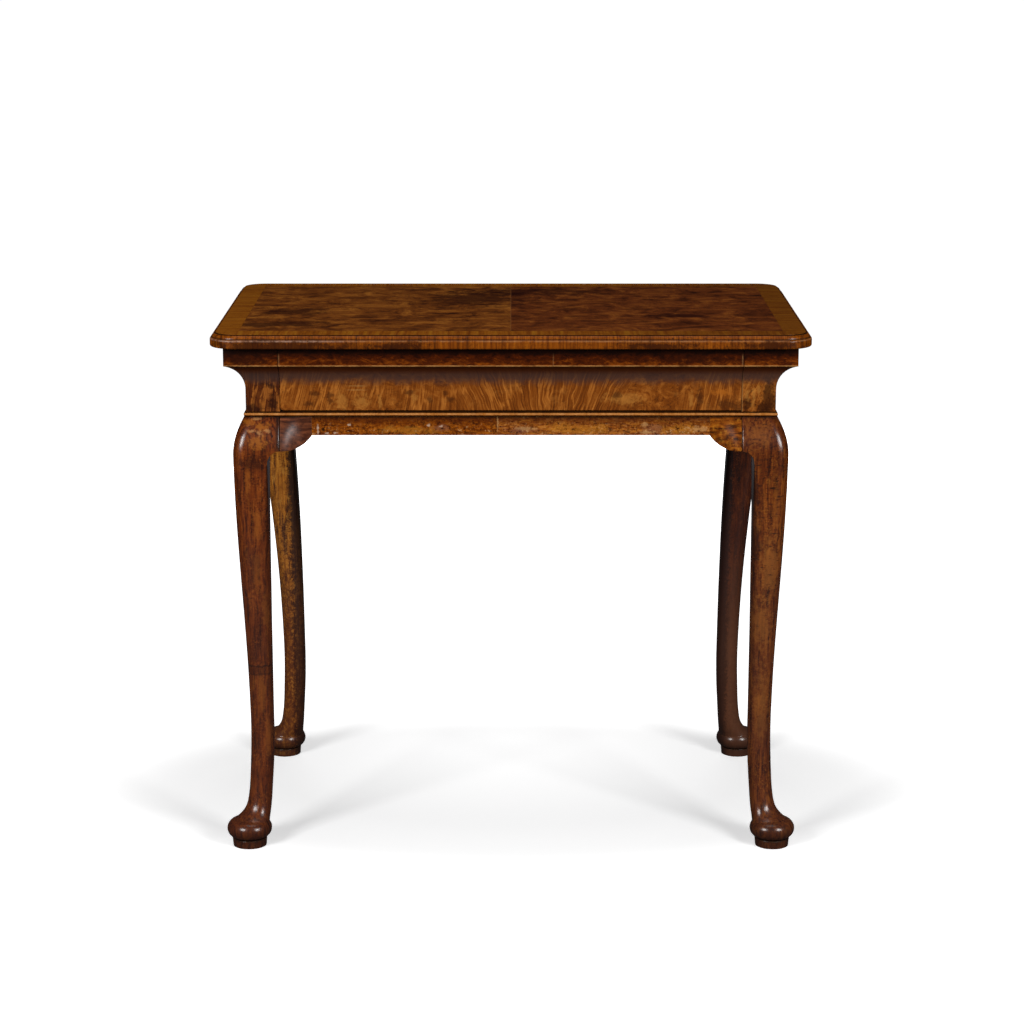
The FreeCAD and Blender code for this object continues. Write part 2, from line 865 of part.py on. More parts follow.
# Knee brackets, two to a leg, with a rounded lower edge and a face that swells towards the knee
def bracket_shape():
    """The bracket on the back rail beside the back right leg."""
    near = size(f"{inner_x} - bracket_gap")
    far = size(bracket_far_x)
    top = size(shoulder)
    bottom = size(bracket_bottom)
    back = size(post_y)
    wires = []
    for share, bulge in zip(bracket_station_shares, bracket_bulge_shares):
        x = near + (far - near) * share
        levels = [top + (bottom - top) * level_share for level_share in bracket_level_shares]
        face = [
            FreeCAD.Vector(x, size(frame_y) + bulge * knee_offset(level), level) for level in levels
        ]
        curve = Part.BSplineCurve()
        curve.interpolate(face)
        head = FreeCAD.Vector(x, back, top)
        foot = FreeCAD.Vector(x, back, bottom)
        wires.append(
            Part.Wire(
                [
                    Part.LineSegment(head, face[0]).toShape(),
                    curve.toShape(),
                    Part.LineSegment(face[-1], foot).toShape(),
                    Part.LineSegment(foot, head).toShape(),
                ]
            )
        )
    block = Part.makeLoft(wires, True)
    run = near - far
    rise = size("bracket_drop")
    radius = (run * run + rise * rise) / (2 * rise)
    swing = math.asin(run / radius) / 2
    full_radius = radius + size("bracket_fullness")
    corners = [
        FreeCAD.Vector(near, back, bottom),
        FreeCAD.Vector(
            near - full_radius * math.sin(swing),
            back,
            bottom + radius - full_radius * math.cos(swing),
        ),
        FreeCAD.Vector(far, back, size(rail_bottom)),
        FreeCAD.Vector(far, back, top),
        FreeCAD.Vector(near, back, top),
    ]
    edges = [
        Part.Arc(corners[0], corners[1], corners[2]).toShape(),
        Part.LineSegment(corners[2], corners[3]).toShape(),
        Part.LineSegment(corners[3], corners[4]).toShape(),
        Part.LineSegment(corners[4], corners[0]).toShape(),
    ]
    side_view = Part.Face(Part.Wire(edges))
    depth = size("facing_thickness + knee_projection + overrun")
    return block.common(side_view.extrude(FreeCAD.Vector(0, depth, 0)))


def bracket(name, shape, turn):
    item = doc.addObject("Part::Feature", name)
    item.Shape = shape
    place(item, turn=turn)
    return keep(name, item)


along_rail = bracket_shape()
diagonal = FreeCAD.Vector(1, -1, 0)
corner_line = FreeCAD.Vector(size(f"{frame_x} - {frame_y}"), 0, 0)
across_rail = along_rail.mirror(corner_line, diagonal)
bracket_back_right = bracket("bracket_back_right", along_rail, 0)
bracket_right_back = bracket("bracket_right_back", across_rail, 0)
bracket_front_left = bracket("bracket_front_left", along_rail, 180)
bracket_left_front = bracket("bracket_left_front", across_rail, 180)
keep("bracket_back_left", across("bracket_back_left", bracket_back_right))
keep("bracket_left_back", across("bracket_left_back", bracket_right_back))
keep("bracket_front_right", across("bracket_front_right", bracket_front_left))
keep("bracket_right_front", across("bracket_right_front", bracket_left_front))

# Runners under the drawer sides, guides beside them and kickers above them
runner_inner_x = f"({rail_inner_x} - runner_width)"
drawer_rail_back = f"(-{post_y} + drawer_rail_depth)"
runner_right = box(
    "runner_right",
    (runner_inner_x, rail_inner_x),
    (drawer_rail_back, inner_y),
    (f"{bead_top} - runner_height", bead_top),
)
guide_right = box(
    "guide_right",
    (inner_x, rail_inner_x),
    (f"-{inner_y}", inner_y),
    (bead_top, f"{bead_top} + guide_height"),
)
kicker_right = box(
    "kicker_right",
    (runner_inner_x, rail_inner_x),
    (f"-{inner_y}", inner_y),
    (f"{underside} - kicker_height", underside),
)
for name, item in (("runner", runner_right), ("guide", guide_right), ("kicker", kicker_right)):
    keep(f"drawer_{name}_right", item)
    keep(f"drawer_{name}_left", across(f"drawer_{name}_left", item))

# Stops on the drawer rail, behind the drawer front
front_back_y = f"(-{frame_y} + drawer_front_thickness)"
stop_right = box(
    "stop_right",
    ("stop_distance - stop_length / 2", "stop_distance + stop_length / 2"),
    (f"{front_back_y} + drawer_lift", f"{front_back_y} + drawer_lift + stop_depth"),
    (bead_top, f"{bead_top} + stop_height"),
)
keep("drawer_stops", group("drawer_stops", [stop_right, across("stop_left", stop_right)]))


# Glue blocks, three-cornered, between the back rail and the top
def glue_block(number, share):
    item = doc.addObject("Part::Wedge", f"glue_block_{number}")
    bind(
        item,
        Xmin="-glue_block_length / 2",
        Xmax="glue_block_length / 2",
        X2min="-glue_block_length / 2",
        X2max="glue_block_length / 2",
        Ymin="0",
        Ymax="glue_block_size",
        Zmin="-glue_block_size",
        Zmax="0",
        Z2min="0",
        Z2max="0",
    )
    place(item, f"{inner_x} * ({share})", rail_inner_y, underside, 180)
    return item


keep(
    "glue_blocks",
    group("glue_blocks", [glue_block(*pair) for pair in enumerate(glue_block_shares)]),
)

# Drawer planes
drawer_half = f"({inner_x} - drawer_side_gap)"
drawer_inner = f"({drawer_half} - drawer_side_thickness)"
drawer_low = f"({bead_top} + drawer_lift)"
drawer_high = f"({underside} - kicker_height - kicker_gap)"
drawer_end = f"({rail_inner_y} - glue_block_size - drawer_back_gap)"
drawer_back_face = f"({drawer_end} - drawer_back_thickness)"
bottom_low = f"({drawer_low} + drawer_bottom_rise)"
bottom_high = f"({bottom_low} + drawer_bottom_thickness)"
back_high = f"({drawer_high} - drawer_back_drop)"
front_low = f"({bead_top} + drawer_foot_gap)"


# Dovetails between the drawer sides and the boards that they meet
def tails(name, root, length, levels, count, forward, grow="0", out="0"):
    """Tails of the right side, one above the other, or their sockets when grown."""
    pitch = f"(({levels[1]} - {levels[0]}) / {count})"
    wide = f"({pitch} * {tail_wide_share} / 2 + {grow})"
    neck = f"({pitch} * {tail_neck_share} / 2 + {grow})"
    items = []
    for number in range(count):
        item = doc.addObject("Part::Wedge", f"{name}_{number}")
        root_half, tip_half = (wide, neck) if forward else (neck, wide)
        bind(
            item,
            Xmin=f"-{grow}",
            Xmax=f"drawer_side_thickness + {out}",
            X2min=f"-{grow}",
            X2max=f"drawer_side_thickness + {out}",
            Ymin="0",
            Ymax=f"{length} + {grow}",
            Zmin=f"-{root_half}",
            Zmax=root_half,
            Z2min=f"-{tip_half}",
            Z2max=tip_half,
        )
        start = f"{root} - {length} - {grow}" if forward else root
        place(item, drawer_inner, start, f"{levels[0]} + {pitch} * ({number} + 1 / 2)")
        items.append(item)
    return items


front_tail_count = 3
back_tail_count = 2
front_tail_levels = (front_low, drawer_high)
back_tail_levels = (bottom_high, back_high)
front_tails = (front_back_y, "front_tail_length", front_tail_levels, front_tail_count, True)
back_tails = (drawer_back_face, "drawer_back_thickness", back_tail_levels, back_tail_count, False)

# Drawer sides, grooved for the bottom
side_board = box(
    "drawer_side_board",
    (drawer_inner, drawer_half),
    (front_back_y, drawer_back_face),
    (drawer_low, drawer_high),
)
side_foot = box(
    "drawer_side_foot",
    (drawer_inner, drawer_half),
    (drawer_back_face, drawer_end),
    (drawer_low, bottom_high),
)
side_groove = box(
    "drawer_side_groove",
    (f"{drawer_inner} - overrun", f"{drawer_inner} + groove_depth"),
    (front_back_y, f"{drawer_end} + overrun"),
    (f"{bottom_low} - joint_gap", f"{bottom_high} + joint_gap"),
)
drawer_side_right = cut(
    "drawer_side_right",
    joined(
        "drawer_side_whole",
        [side_board, side_foot] + tails("front_tail", *front_tails) + tails("back_tail", *back_tails),
    ),
    [side_groove],
)
keep("drawer_side_right", drawer_side_right)
keep("drawer_side_left", across("drawer_side_left", drawer_side_right))

# Drawer front, moulded as the frieze, with lapped sockets and a groove for the bottom
front_blank = new_body("drawer_front_blank")
front_profile = drawn(
    front_blank,
    "drawer_front_profile",
    "YZ_Plane",
    [
        frieze_profile(
            "facing_thickness - drawer_front_thickness",
            "drawer_foot_gap",
            f"{frieze_height} - drawer_head_gap",
        )
    ],
)
pad(front_blank, "drawer_front_pad", front_profile, f"2 * {drawer_half}", symmetric=True)
place(front_blank, "0", f"-{post_y}", bead_top, 180)
front_sockets = tails("front_socket", *front_tails, "joint_gap", "overrun")
front_groove = box(
    "drawer_front_groove",
    (f"-{drawer_inner}", drawer_inner),
    (f"{front_back_y} - groove_depth", f"{front_back_y} + overrun"),
    (f"{bottom_low} - joint_gap", f"{bottom_high} + joint_gap"),
)
front_waste = front_sockets + [across(f"{item.Name}_left", item) for item in front_sockets]
keep("drawer_front", cut("drawer_front", front_blank, front_waste + [front_groove]))

# Drawer back, standing on the bottom, and the bottom itself
back_board = box(
    "drawer_back_board",
    (f"-{drawer_half}", drawer_half),
    (drawer_back_face, drawer_end),
    (bottom_high, back_high),
)
back_sockets = tails("back_socket", *back_tails, "joint_gap", "overrun")
back_waste = back_sockets + [across(f"{item.Name}_left", item) for item in back_sockets]
bottom_half = f"({drawer_inner} + groove_depth - joint_gap)"
bottom_tongue = f"({drawer_inner} - joint_gap)"
bottom_board = joined(
    "drawer_bottom_board",
    [
        box(
            "drawer_bottom_field",
            (f"-{bottom_half}", bottom_half),
            (f"{front_back_y} + joint_gap", drawer_end),
            (bottom_low, bottom_high),
        ),
        box(
            "drawer_bottom_tongue",
            (f"-{bottom_tongue}", bottom_tongue),
            (f"{front_back_y} - groove_depth + joint_gap", f"{front_back_y} + joint_gap"),
            (bottom_low, bottom_high),
        ),
    ],
)


def nails(name, grow="0"):
    """Nails up through the bottom into the drawer back, or their holes when grown."""
    return [
        rod(
            f"{name}_{number}",
            f"nail_diameter + {grow}",
            f"nail_length + {grow}",
            f"{drawer_inner} * ({share})",
            f"{drawer_end} - drawer_back_thickness / 2",
            bottom_low,
            upwards,
        )
        for number, share in enumerate(nail_shares)
    ]


keep("drawer_back", cut("drawer_back", back_board, back_waste + nails("back_nail_hole", "joint_gap")))
keep("drawer_bottom", cut("drawer_bottom", bottom_board, nails("bottom_nail_hole", "joint_gap")))
keep("drawer_bottom_nails", group("drawer_bottom_nails", nails("drawer_nail")))

# Every object has to be sound before anything is written
doc.recompute()
for item in doc.Objects:
    faults = [word for word in item.State if word in ("Invalid", "Error")]
    if faults:
        raise RuntimeError(f"{item.Name} is {faults}")
for label, item in pieces.items():
    if item.Shape.isNull() or not item.Shape.isValid() or not item.Shape.Solids:
        raise RuntimeError(f"{label} has no sound solid")
os.makedirs("parts", exist_ok=True)
for label, item in pieces.items():
    item.Shape.exportStep(f"parts/{label}.step")
print(len(pieces), "pieces")
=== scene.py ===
import bpy
import functools
import math
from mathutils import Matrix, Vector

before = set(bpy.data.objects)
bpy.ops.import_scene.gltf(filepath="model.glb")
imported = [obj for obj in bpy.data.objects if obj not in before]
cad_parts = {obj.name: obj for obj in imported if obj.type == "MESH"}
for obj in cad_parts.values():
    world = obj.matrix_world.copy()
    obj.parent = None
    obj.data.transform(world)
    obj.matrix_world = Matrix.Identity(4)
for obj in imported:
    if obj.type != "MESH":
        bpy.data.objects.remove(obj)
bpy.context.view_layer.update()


# Carcase: three rails, the low drawer rail, the top board and the glue blocks, of sawn softwood that
# was planed by hand and never polished. The rails are tenoned into the leg posts, and the blocks are
# rubbed on with hot glue.
def srgb(code):
    """A colour from its sRGB hex value, as the linear values that a shader takes."""
    shares = [int(code[at:at + 2], 16) / 255 for at in (1, 3, 5)]
    return tuple(s / 12.92 if s <= 0.04045 else ((s + 0.055) / 1.055) ** 2.4 for s in shares) + (1,)


def node(tree, kind, sockets=None, stops=None, **settings):
    """Add a node with its settings, its values and its links. Stops are those of a colour ramp."""
    item = tree.nodes.new("ShaderNode" + kind)
    for name, value in settings.items():
        setattr(item, name, value)
    for socket, value in (sockets or {}).items():
        if isinstance(value, bpy.types.NodeSocket):
            tree.links.new(value, item.inputs[socket])
        else:
            item.inputs[socket].default_value = value
    for number, (place, colour) in enumerate(stops or []):
        ramp = item.color_ramp.elements
        stop = ramp[number] if number < len(ramp) else ramp.new(place)
        stop.position = place
        stop.color = colour
    return next((output for output in item.outputs if output.enabled), None)


def new_material(name):
    """An empty material, and the function that adds nodes to it."""
    material = bpy.data.materials.new(name)
    material.use_nodes = True
    material.node_tree.nodes.clear()
    return material, functools.partial(node, material.node_tree)


def dress(material, *names):
    """Give CAD pieces a finish."""
    for name in names:
        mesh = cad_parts[name].data
        mesh.materials.clear()
        mesh.materials.append(material)


def grain_scale(along, length, width):
    """How a pattern is drawn out along the grain, for a vector in mm."""
    return [1 / length if axis in along else 1 / width for axis in "xyz"]


def dry_wood(name, along, pale, mid, dark, line_mm, seed):
    """Wood that was sawn and planed but never polished: dull, with plain straight grain lines and brown
    dirt in patches."""
    material, add = new_material(name)
    place = add("TexCoord").node.outputs["Object"]
    mm = add("VectorMath", {0: place, 1: (1000,) * 3, 2: (seed * 61, seed * 37, seed * 83)},
             operation="MULTIPLY_ADD")
    wander = add("TexNoise", {"Vector": mm, "Scale": 1 / 160, "Detail": 2}).node.outputs["Color"]
    waved = add("VectorMath", {0: wander, 1: (14,) * 3, 2: mm}, operation="MULTIPLY_ADD")
    drawn_out = grain_scale(along, line_mm * 60, line_mm)
    lengthwise = add("VectorMath", {0: waved, 1: drawn_out}, operation="MULTIPLY")
    lines = add("TexNoise", {"Vector": lengthwise, "Scale": 1, "Detail": 5, "Roughness": 0.65})
    colour = add("ValToRGB", {"Fac": lines}, [(0.34, dark), (0.5, mid), (0.66, pale)])
    dirt = add("TexNoise", {"Vector": mm, "Scale": 1 / 55, "Detail": 5, "Roughness": 0.6})
    dirty = add("MapRange", {"Value": dirt, 1: 0.5, 2: 0.72, 3: 0, 4: 0.7})
    colour = add("Mix", {0: dirty, 6: colour, 7: dark}, data_type="RGBA")
    height = add("Bump", {"Height": lines, "Strength": 0.35, "Distance": 0.0004})
    rough = add("MapRange", {"Value": dirt, 1: 0.3, 2: 0.7, 3: 0.62, 4: 0.85})
    wood = add("BsdfPrincipled", {"Base Color": colour, "Roughness": rough, "Normal": height,
                                  "IOR": 1.48, "Specular IOR Level": 0.35})
    add("OutputMaterial", {"Surface": wood})
    return material


# Pine lines are about 3 mm apart.
pine_pale, pine_mid, pine_dark = srgb("#9a6a3c"), srgb("#7c5029"), srgb("#4e2e16")
dress(dry_wood("planed_pine_along", "x", pine_pale, pine_mid, pine_dark, 3, 1),
      "rail_back", "drawer_rail", "top_board", "glue_blocks")
dress(dry_wood("planed_pine_across", "y", pine_pale, pine_mid, pine_dark, 3, 2), "rail_left", "rail_right")


# Drawer supports and pegs: runners, guides, kickers and stops of riven oak, glued and nailed to the
# rails, and the cleft oak pegs through the tenons. Planed, and left bare.
oak_pale, oak_mid, oak_dark = srgb("#a8804f"), srgb("#876036"), srgb("#573a1e")
dress(dry_wood("planed_oak_across", "y", oak_pale, oak_mid, oak_dark, 2, 3),
      "drawer_runner_left", "drawer_runner_right", "drawer_guide_left", "drawer_guide_right",
      "drawer_kicker_left", "drawer_kicker_right")
dress(dry_wood("planed_oak_along", "x", oak_pale, oak_mid, oak_dark, 2, 4), "drawer_stops", "tenon_pegs")


# Legs: four cabriole legs, each sawn and carved from one length of walnut with its square post,
# turned at the pad foot, then stained, varnished and waxed. The old finish is worn to golden wood in
# patches. The sides towards the middle of the table carry painted shade, near black.
def waxed_walnut(name, pale, mid, dark, along="z", streak_mm=(70, 5), calm=1.0, wave_mm=8,
                 patch_mm=(9, 9, 26), grime=0.6, golden=None, worn=0.7, pore=0.4, fleck=0.5, chip=0.0,
                 rub=0.4, rough=0.5, coat=0.3, gloss=0.24, seed=0, figure=None, marks=None):
    """Old walnut under varnish and wax: streaks along the grain, worn and grimy patches, short dark
    pores, crackled dark flecks, small pale chips, rubbed edges, and a clear gloss over all. calm flattens
    the streaks, figure gives another grain in their place, and marks adds the piece's own marks to the
    colour. Pores are drawn about four times as coarse as real ones, to show."""
    material, add = new_material(name)
    place = add("TexCoord").node.outputs["Object"]
    mm = add("VectorMath", {0: place, 1: (1000,) * 3}, operation="MULTIPLY")
    laid = add("VectorMath", {0: mm, 1: (seed * 131, seed * 71, seed * 97)}, operation="ADD")
    wander = add("TexNoise", {"Vector": laid, "Scale": 1 / 45, "Detail": 3}).node.outputs["Color"]
    waved = add("VectorMath", {0: wander, 1: (wave_mm,) * 3, 2: laid}, operation="MULTIPLY_ADD")
    lengthwise = add("VectorMath", {0: waved, 1: grain_scale(along, *streak_mm)}, operation="MULTIPLY")
    grain = add("TexNoise", {"Vector": lengthwise, "Scale": 1, "Detail": 6, "Roughness": 0.66})
    if figure:
        grain = figure(add, mm, laid, waved, grain)
    deep = srgb("#160805")
    tones = [(0.5 - 0.28 * calm, deep), (0.5 - 0.13 * calm, dark), (0.5, mid), (0.5 + 0.16 * calm, pale)]
    colour = add("ValToRGB", {"Fac": grain}, tones)
    blotch = add("VectorMath", {0: waved, 1: [1 / size for size in patch_mm]}, operation="MULTIPLY")
    patches = add("TexNoise", {"Vector": blotch, "Scale": 1, "Detail": 7, "Roughness": 0.72})
    if golden:
        bare = add("MapRange", {"Value": patches, 1: 0.46, 2: 0.34, 3: 0, 4: worn})
        colour = add("Mix", {0: bare, 6: colour, 7: golden}, data_type="RGBA")
    grimy = add("MapRange", {"Value": patches, 1: 0.53, 2: 0.66, 3: 0, 4: grime})
    colour = add("Mix", {0: grimy, 6: colour, 7: dark}, data_type="RGBA")
    dashes = add("VectorMath", {0: waved, 1: grain_scale(along, 9, 1.2)}, operation="MULTIPLY")
    pores = add("TexNoise", {"Vector": dashes, "Scale": 1, "Detail": 3, "Roughness": 0.6})
    pored = add("MapRange", {"Value": pores, 1: 0.58, 2: 0.68, 3: 0, 4: pore})
    colour = add("Mix", {0: pored, 6: colour, 7: deep}, data_type="RGBA")
    crackle = add("TexNoise", {"Vector": laid, "Scale": 1 / 2.6, "Detail": 4, "Roughness": 0.68})
    crowd = add("TexNoise", {"Vector": laid, "Scale": 1 / 34, "Detail": 3})
    crowd = add("MapRange", {"Value": crowd, 1: 0.4, 2: 0.6, 3: 0.15, 4: 1})
    flecks = add("MapRange", {"Value": crackle, 1: 0.54, 2: 0.64, 3: 0, 4: fleck})
    flecks = add("Math", {0: flecks, 1: crowd}, operation="MULTIPLY")
    colour = add("Mix", {0: flecks, 6: colour, 7: deep}, data_type="RGBA")
    if chip:
        chips = add("MapRange", {"Value": crackle, 1: 0.45, 2: 0.36, 3: 0, 4: chip})
        chips = add("Math", {0: chips, 1: crowd}, operation="MULTIPLY")
        colour = add("Mix", {0: chips, 6: colour, 7: golden or pale}, data_type="RGBA")
    if marks:
        colour = marks(add, mm, laid, colour)
    soft = add("Bevel", {"Radius": 0.0012}, samples=4)
    square = add("NewGeometry").node.outputs["Normal"]
    turn = add("VectorMath", {0: soft, 1: square}, operation="DOT_PRODUCT").node.outputs["Value"]
    edge = add("MapRange", {"Value": turn, 1: 0.99, 2: 0.88, 3: 0, 4: rub})
    rubbed = add("MapRange", {"Value": crackle, 1: 0.6, 2: 0.4, 3: 0.1, 4: 1})
    edge = add("Math", {0: edge, 1: rubbed}, operation="MULTIPLY")
    colour = add("Mix", {0: edge, 6: colour, 7: srgb("#b07a3c")}, data_type="RGBA")
    dull = add("MapRange", {"Value": patches, 1: 0.35, 2: 0.68, 3: rough, 4: rough + 0.18})
    relief = add("Math", {0: pores, 1: -0.6, 2: grain}, operation="MULTIPLY_ADD")
    height = add("Bump", {"Height": relief, "Strength": 0.2, "Distance": 0.0004, "Normal": soft})
    wood = add("BsdfPrincipled", {
        "Base Color": colour, "Roughness": dull, "Normal": height, "IOR": 1.5, "Specular IOR Level": 0.03,
        "Coat Weight": coat, "Coat Roughness": gloss, "Coat IOR": 1.6, "Coat Normal": soft})
    add("OutputMaterial", {"Surface": wood})
    return material


def tint(add, share, colour, other):
    """Lay another colour over a share of the surface."""
    return add("Mix", {0: share, 6: colour, 7: srgb(other)}, data_type="RGBA")


def line(add, way, at, half, fade, share):
    """The share that a line takes of what lies by it: full to half its width, then fading out."""
    away = add("Math", {0: way, 1: at}, operation="SUBTRACT")
    away = add("Math", {0: away}, operation="ABSOLUTE")
    return add("MapRange", {"Value": away, 1: half + fade, 2: half, 3: 0, 4: share})


def spots(add, mm, ragged, colour, other, share, *places):
    """Ragged spots of another colour. Each place is a spot's centre and its reach along x, y and z."""
    for centre, reach in places:
        shift = [-middle / size for middle, size in zip(centre, reach)]
        off = add("VectorMath", {0: mm, 1: [1 / size for size in reach], 2: shift}, operation="MULTIPLY_ADD")
        off = add("VectorMath", {0: off}, operation="LENGTH").node.outputs["Value"]
        off = add("Math", {0: ragged, 1: 3.6, 2: off}, operation="MULTIPLY_ADD")
        spot = add("MapRange", {"Value": off, 1: 2.8, 2: 2.2, 3: 0, 4: share})
        colour = tint(add, spot, colour, other)
    return colour


def shade_under_bead(add, level, colour):
    """Painted shade: black just under the bead, where it overhangs."""
    # Painted shade: black on what lies just under the bead.
    head = add("MapRange", {"Value": level, 1: 592.5, 2: 595, 3: 0, 4: 0.85})
    return tint(add, head, colour, "#120604")


def leg_dirt_and_shade(add, mm, laid, colour, way):
    """Painted shade, dirt and darkening: darker low down on the foot and the disc, painted shade as a dark
    line in the crease between disc and pad and under the bead, a greyer bloom on the wax low down, and
    painted shade on the side towards the middle of the table, strongest high up. way is 1 where the middle
    is to the right."""
    level = add("SeparateXYZ", {0: mm}).node.outputs["Z"]
    stain = add("TexNoise", {"Vector": laid, "Scale": 1 / 12, "Detail": 4})
    uneven = add("Math", {0: stain, 1: 10, 2: level}, operation="MULTIPLY_ADD")
    low = add("MapRange", {"Value": uneven, 1: 70, 2: 14, 3: 0, 4: 0.55}, interpolation_type="SMOOTHSTEP")
    colour = tint(add, low, colour, "#1a0c07")
    # Painted shade: a dark line in the crease where the pad sits on the disc.
    colour = tint(add, line(add, level, 11.8, 1.0, 1.6, 0.85), colour, "#0c0504")
    # Painted shade under the bead.
    colour = shade_under_bead(add, level, colour)
    ashen = add("MapRange", {"Value": uneven, 1: 500, 2: 340, 3: 0, 4: 0.2})
    colour = tint(add, ashen, colour, "#5c3c34")
    # Painted shade: the side of the leg that faces the middle of the table is darkened to near black, more so
    # high up.
    face = add("NewGeometry").node.outputs["Normal"]
    side = add("SeparateXYZ", {0: face}).node.outputs["X"]
    inner = add("MapRange", {"Value": side, 1: 0.55 * way, 2: 1.0 * way, 3: 0, 4: 1})
    high = add("MapRange", {"Value": level, 1: 400, 2: 500, 3: 0.3, 4: 0.85})
    inner = add("Math", {0: inner, 1: high}, operation="MULTIPLY")
    return tint(add, inner, colour, "#140906")


def left_leg_marks(add, mm, laid, colour):
    """Golden chips on the knee, golden streaks down the shin, the black joint by the bracket, and the old
    repair low down: a splice whose glue lines have gone black."""
    axes = add("SeparateXYZ", {0: mm}).node.outputs
    fine = add("TexNoise", {"Vector": laid, "Scale": 1 / 6, "Detail": 5, "Roughness": 0.75})
    colour = spots(add, mm, fine, colour, "#a25c18", 0.75,
                   ((-348, -200, 588), (10, 60, 5)), ((-328, -200, 583), (12, 60, 6)),
                   ((-334, -200, 562), (15, 60, 10)))
    colour = spots(add, mm, fine, colour, "#cc9258", 0.5,
                   ((-343, -200, 578), (7, 60, 3)), ((-333, -200, 575), (5, 60, 4)),
                   ((-322, -200, 578), (6, 60, 3)), ((-335, -200, 593), (8, 60, 2)))
    broad = add("TexNoise", {"Vector": laid, "Scale": 1 / 9, "Detail": 7, "Roughness": 0.75})
    colour = spots(add, mm, broad, colour, "#98541a", 0.5,
                   ((-349, -200, 515), (5, 60, 22)), ((-339, -200, 452), (7, 60, 30)),
                   ((-340, -200, 385), (6, 60, 34)), ((-329, -200, 330), (6, 60, 34)),
                   ((-338, -200, 215), (7, 60, 34)), ((-330, -200, 150), (6, 60, 34)))
    colour = spots(add, mm, broad, colour, "#240c06", 0.65, ((-341, -200, 536), (24, 60, 13)))
    colour = spots(add, mm, broad, colour, "#3c1a12", 0.4, ((-340, -200, 275), (22, 60, 20)),
                   ((-345, -200, 405), (12, 60, 34)))
    jointed = add("MapRange", {"Value": axes["Z"], 1: 545, 2: 555, 3: 0, 4: 1})
    jointed = add("Math", {0: line(add, axes["X"], -307, 2.5, 4, 0.75), 1: jointed}, operation="MULTIPLY")
    colour = tint(add, jointed, colour, "#1c100c")
    rise = add("Math", {0: broad, 1: 14, 2: axes["Z"]}, operation="MULTIPLY_ADD")
    colour = tint(add, line(add, rise, 254, 5, 3, 0.3), colour, "#1c0a06")
    for height, strength in ((248, 0.45), (259, 0.7)):
        colour = tint(add, line(add, rise, height, 0.5, 1.4, strength), colour, "#120705")
    return leg_dirt_and_shade(add, mm, laid, colour, 1)


def right_leg_marks(add, mm, laid, colour):
    """Golden, flecked wood on the knee and down the shin, a dark cloud under the knee, and fine drying
    checks across the front that are filled with dark wax."""
    level = add("SeparateXYZ", {0: mm}).node.outputs["Z"]
    knee = add("MapRange", {"Value": level, 1: 520, 2: 560, 3: 0, 4: 0.35})
    colour = tint(add, knee, colour, "#481a04")
    fine = add("TexNoise", {"Vector": laid, "Scale": 1 / 6, "Detail": 5, "Roughness": 0.75})
    colour = spots(add, mm, fine, colour, "#96541a", 0.45,
                   ((326, -200, 573), (22, 60, 18)), ((352, -200, 480), (5, 60, 50)))
    broad = add("TexNoise", {"Vector": laid, "Scale": 1 / 9, "Detail": 7, "Roughness": 0.75})
    colour = spots(add, mm, broad, colour, "#a86628", 0.45,
                   ((346, -200, 395), (15, 60, 52)), ((336, -200, 310), (16, 60, 42)),
                   ((340, -200, 200), (13, 60, 60)))
    colour = spots(add, mm, broad, colour, "#2a120c", 0.65,
                   ((320, -200, 492), (14, 60, 42)), ((325, -200, 430), (9, 60, 32)))
    colour = spots(add, mm, broad, colour, "#43201a", 0.25, ((341, -200, 150), (16, 60, 40)),
                   ((330, -200, 250), (8, 60, 30)))
    flat = add("VectorMath", {0: laid, 1: (1 / 11, 1 / 11, 1 / 2)}, operation="MULTIPLY")
    cracks = add("TexNoise", {"Vector": flat, "Scale": 1, "Detail": 3, "Roughness": 0.6})
    cracked = add("MapRange", {"Value": cracks, 1: 0.6, 2: 0.66, 3: 0, 4: 0.85})
    zone = add("MapRange", {"Value": level, 1: 240, 2: 360, 3: 0.1, 4: 1})
    share = add("Math", {0: cracked, 1: zone}, operation="MULTIPLY")
    colour = tint(add, share, colour, "#1c0d07")
    return leg_dirt_and_shade(add, mm, laid, colour, -1)


def back_leg_marks(edge, way, foot):
    """Painted shade, black, on the half towards the middle of the table, from edge on; dark flecks over
    the lower half of the leg, which has another tone, foot."""
    def marks(add, mm, laid, colour):
        axes = add("SeparateXYZ", {0: mm}).node.outputs
        ragged = add("TexNoise", {"Vector": laid, "Scale": 1 / 5, "Detail": 6, "Roughness": 0.78})
        below = add("MapRange", {"Value": axes["Z"], 1: 470, 2: 250, 3: 0.66, 4: 0.46})
        low = add("Math", {0: ragged, 1: below}, operation="SUBTRACT")
        low = add("MapRange", {"Value": low, 1: -0.02, 2: 0.06, 3: 0, 4: 0.7})
        colour = tint(add, low, colour, "#381406")
        toned = add("MapRange", {"Value": axes["Z"], 1: 340, 2: 160, 3: 0, 4: 0.6})
        mottled = add("MapRange", {"Value": ragged, 1: 0.3, 2: 0.7, 3: 0.45, 4: 1})
        toned = add("Math", {0: toned, 1: mottled}, operation="MULTIPLY")
        colour = tint(add, toned, colour, foot)
        # Painted shade: black on the half of the leg towards the middle of the table, from edge on, covering
        # a little less and less dark low down.
        lower = add("MapRange", {"Value": axes["Z"], 1: 430, 2: 300, 3: 0, 4: 4})
        inside = add("Math", {0: axes["X"], 1: way, 2: -edge * way - 14}, operation="MULTIPLY_ADD")
        inside = add("Math", {0: inside, 1: lower}, operation="SUBTRACT")
        inside = add("Math", {0: ragged, 1: 28, 2: inside}, operation="MULTIPLY_ADD")
        black = add("MapRange", {"Value": inside, 1: -4, 2: 4, 3: 0, 4: 1}, interpolation_type="SMOOTHSTEP")
        kept = add("MapRange", {"Value": axes["Z"], 1: 380, 2: 220, 3: 0.94, 4: 0.72})
        black = add("Math", {0: black, 1: kept}, operation="MULTIPLY")
        colour = tint(add, black, colour, "#120605")
        return leg_dirt_and_shade(add, mm, laid, colour, way)
    return marks


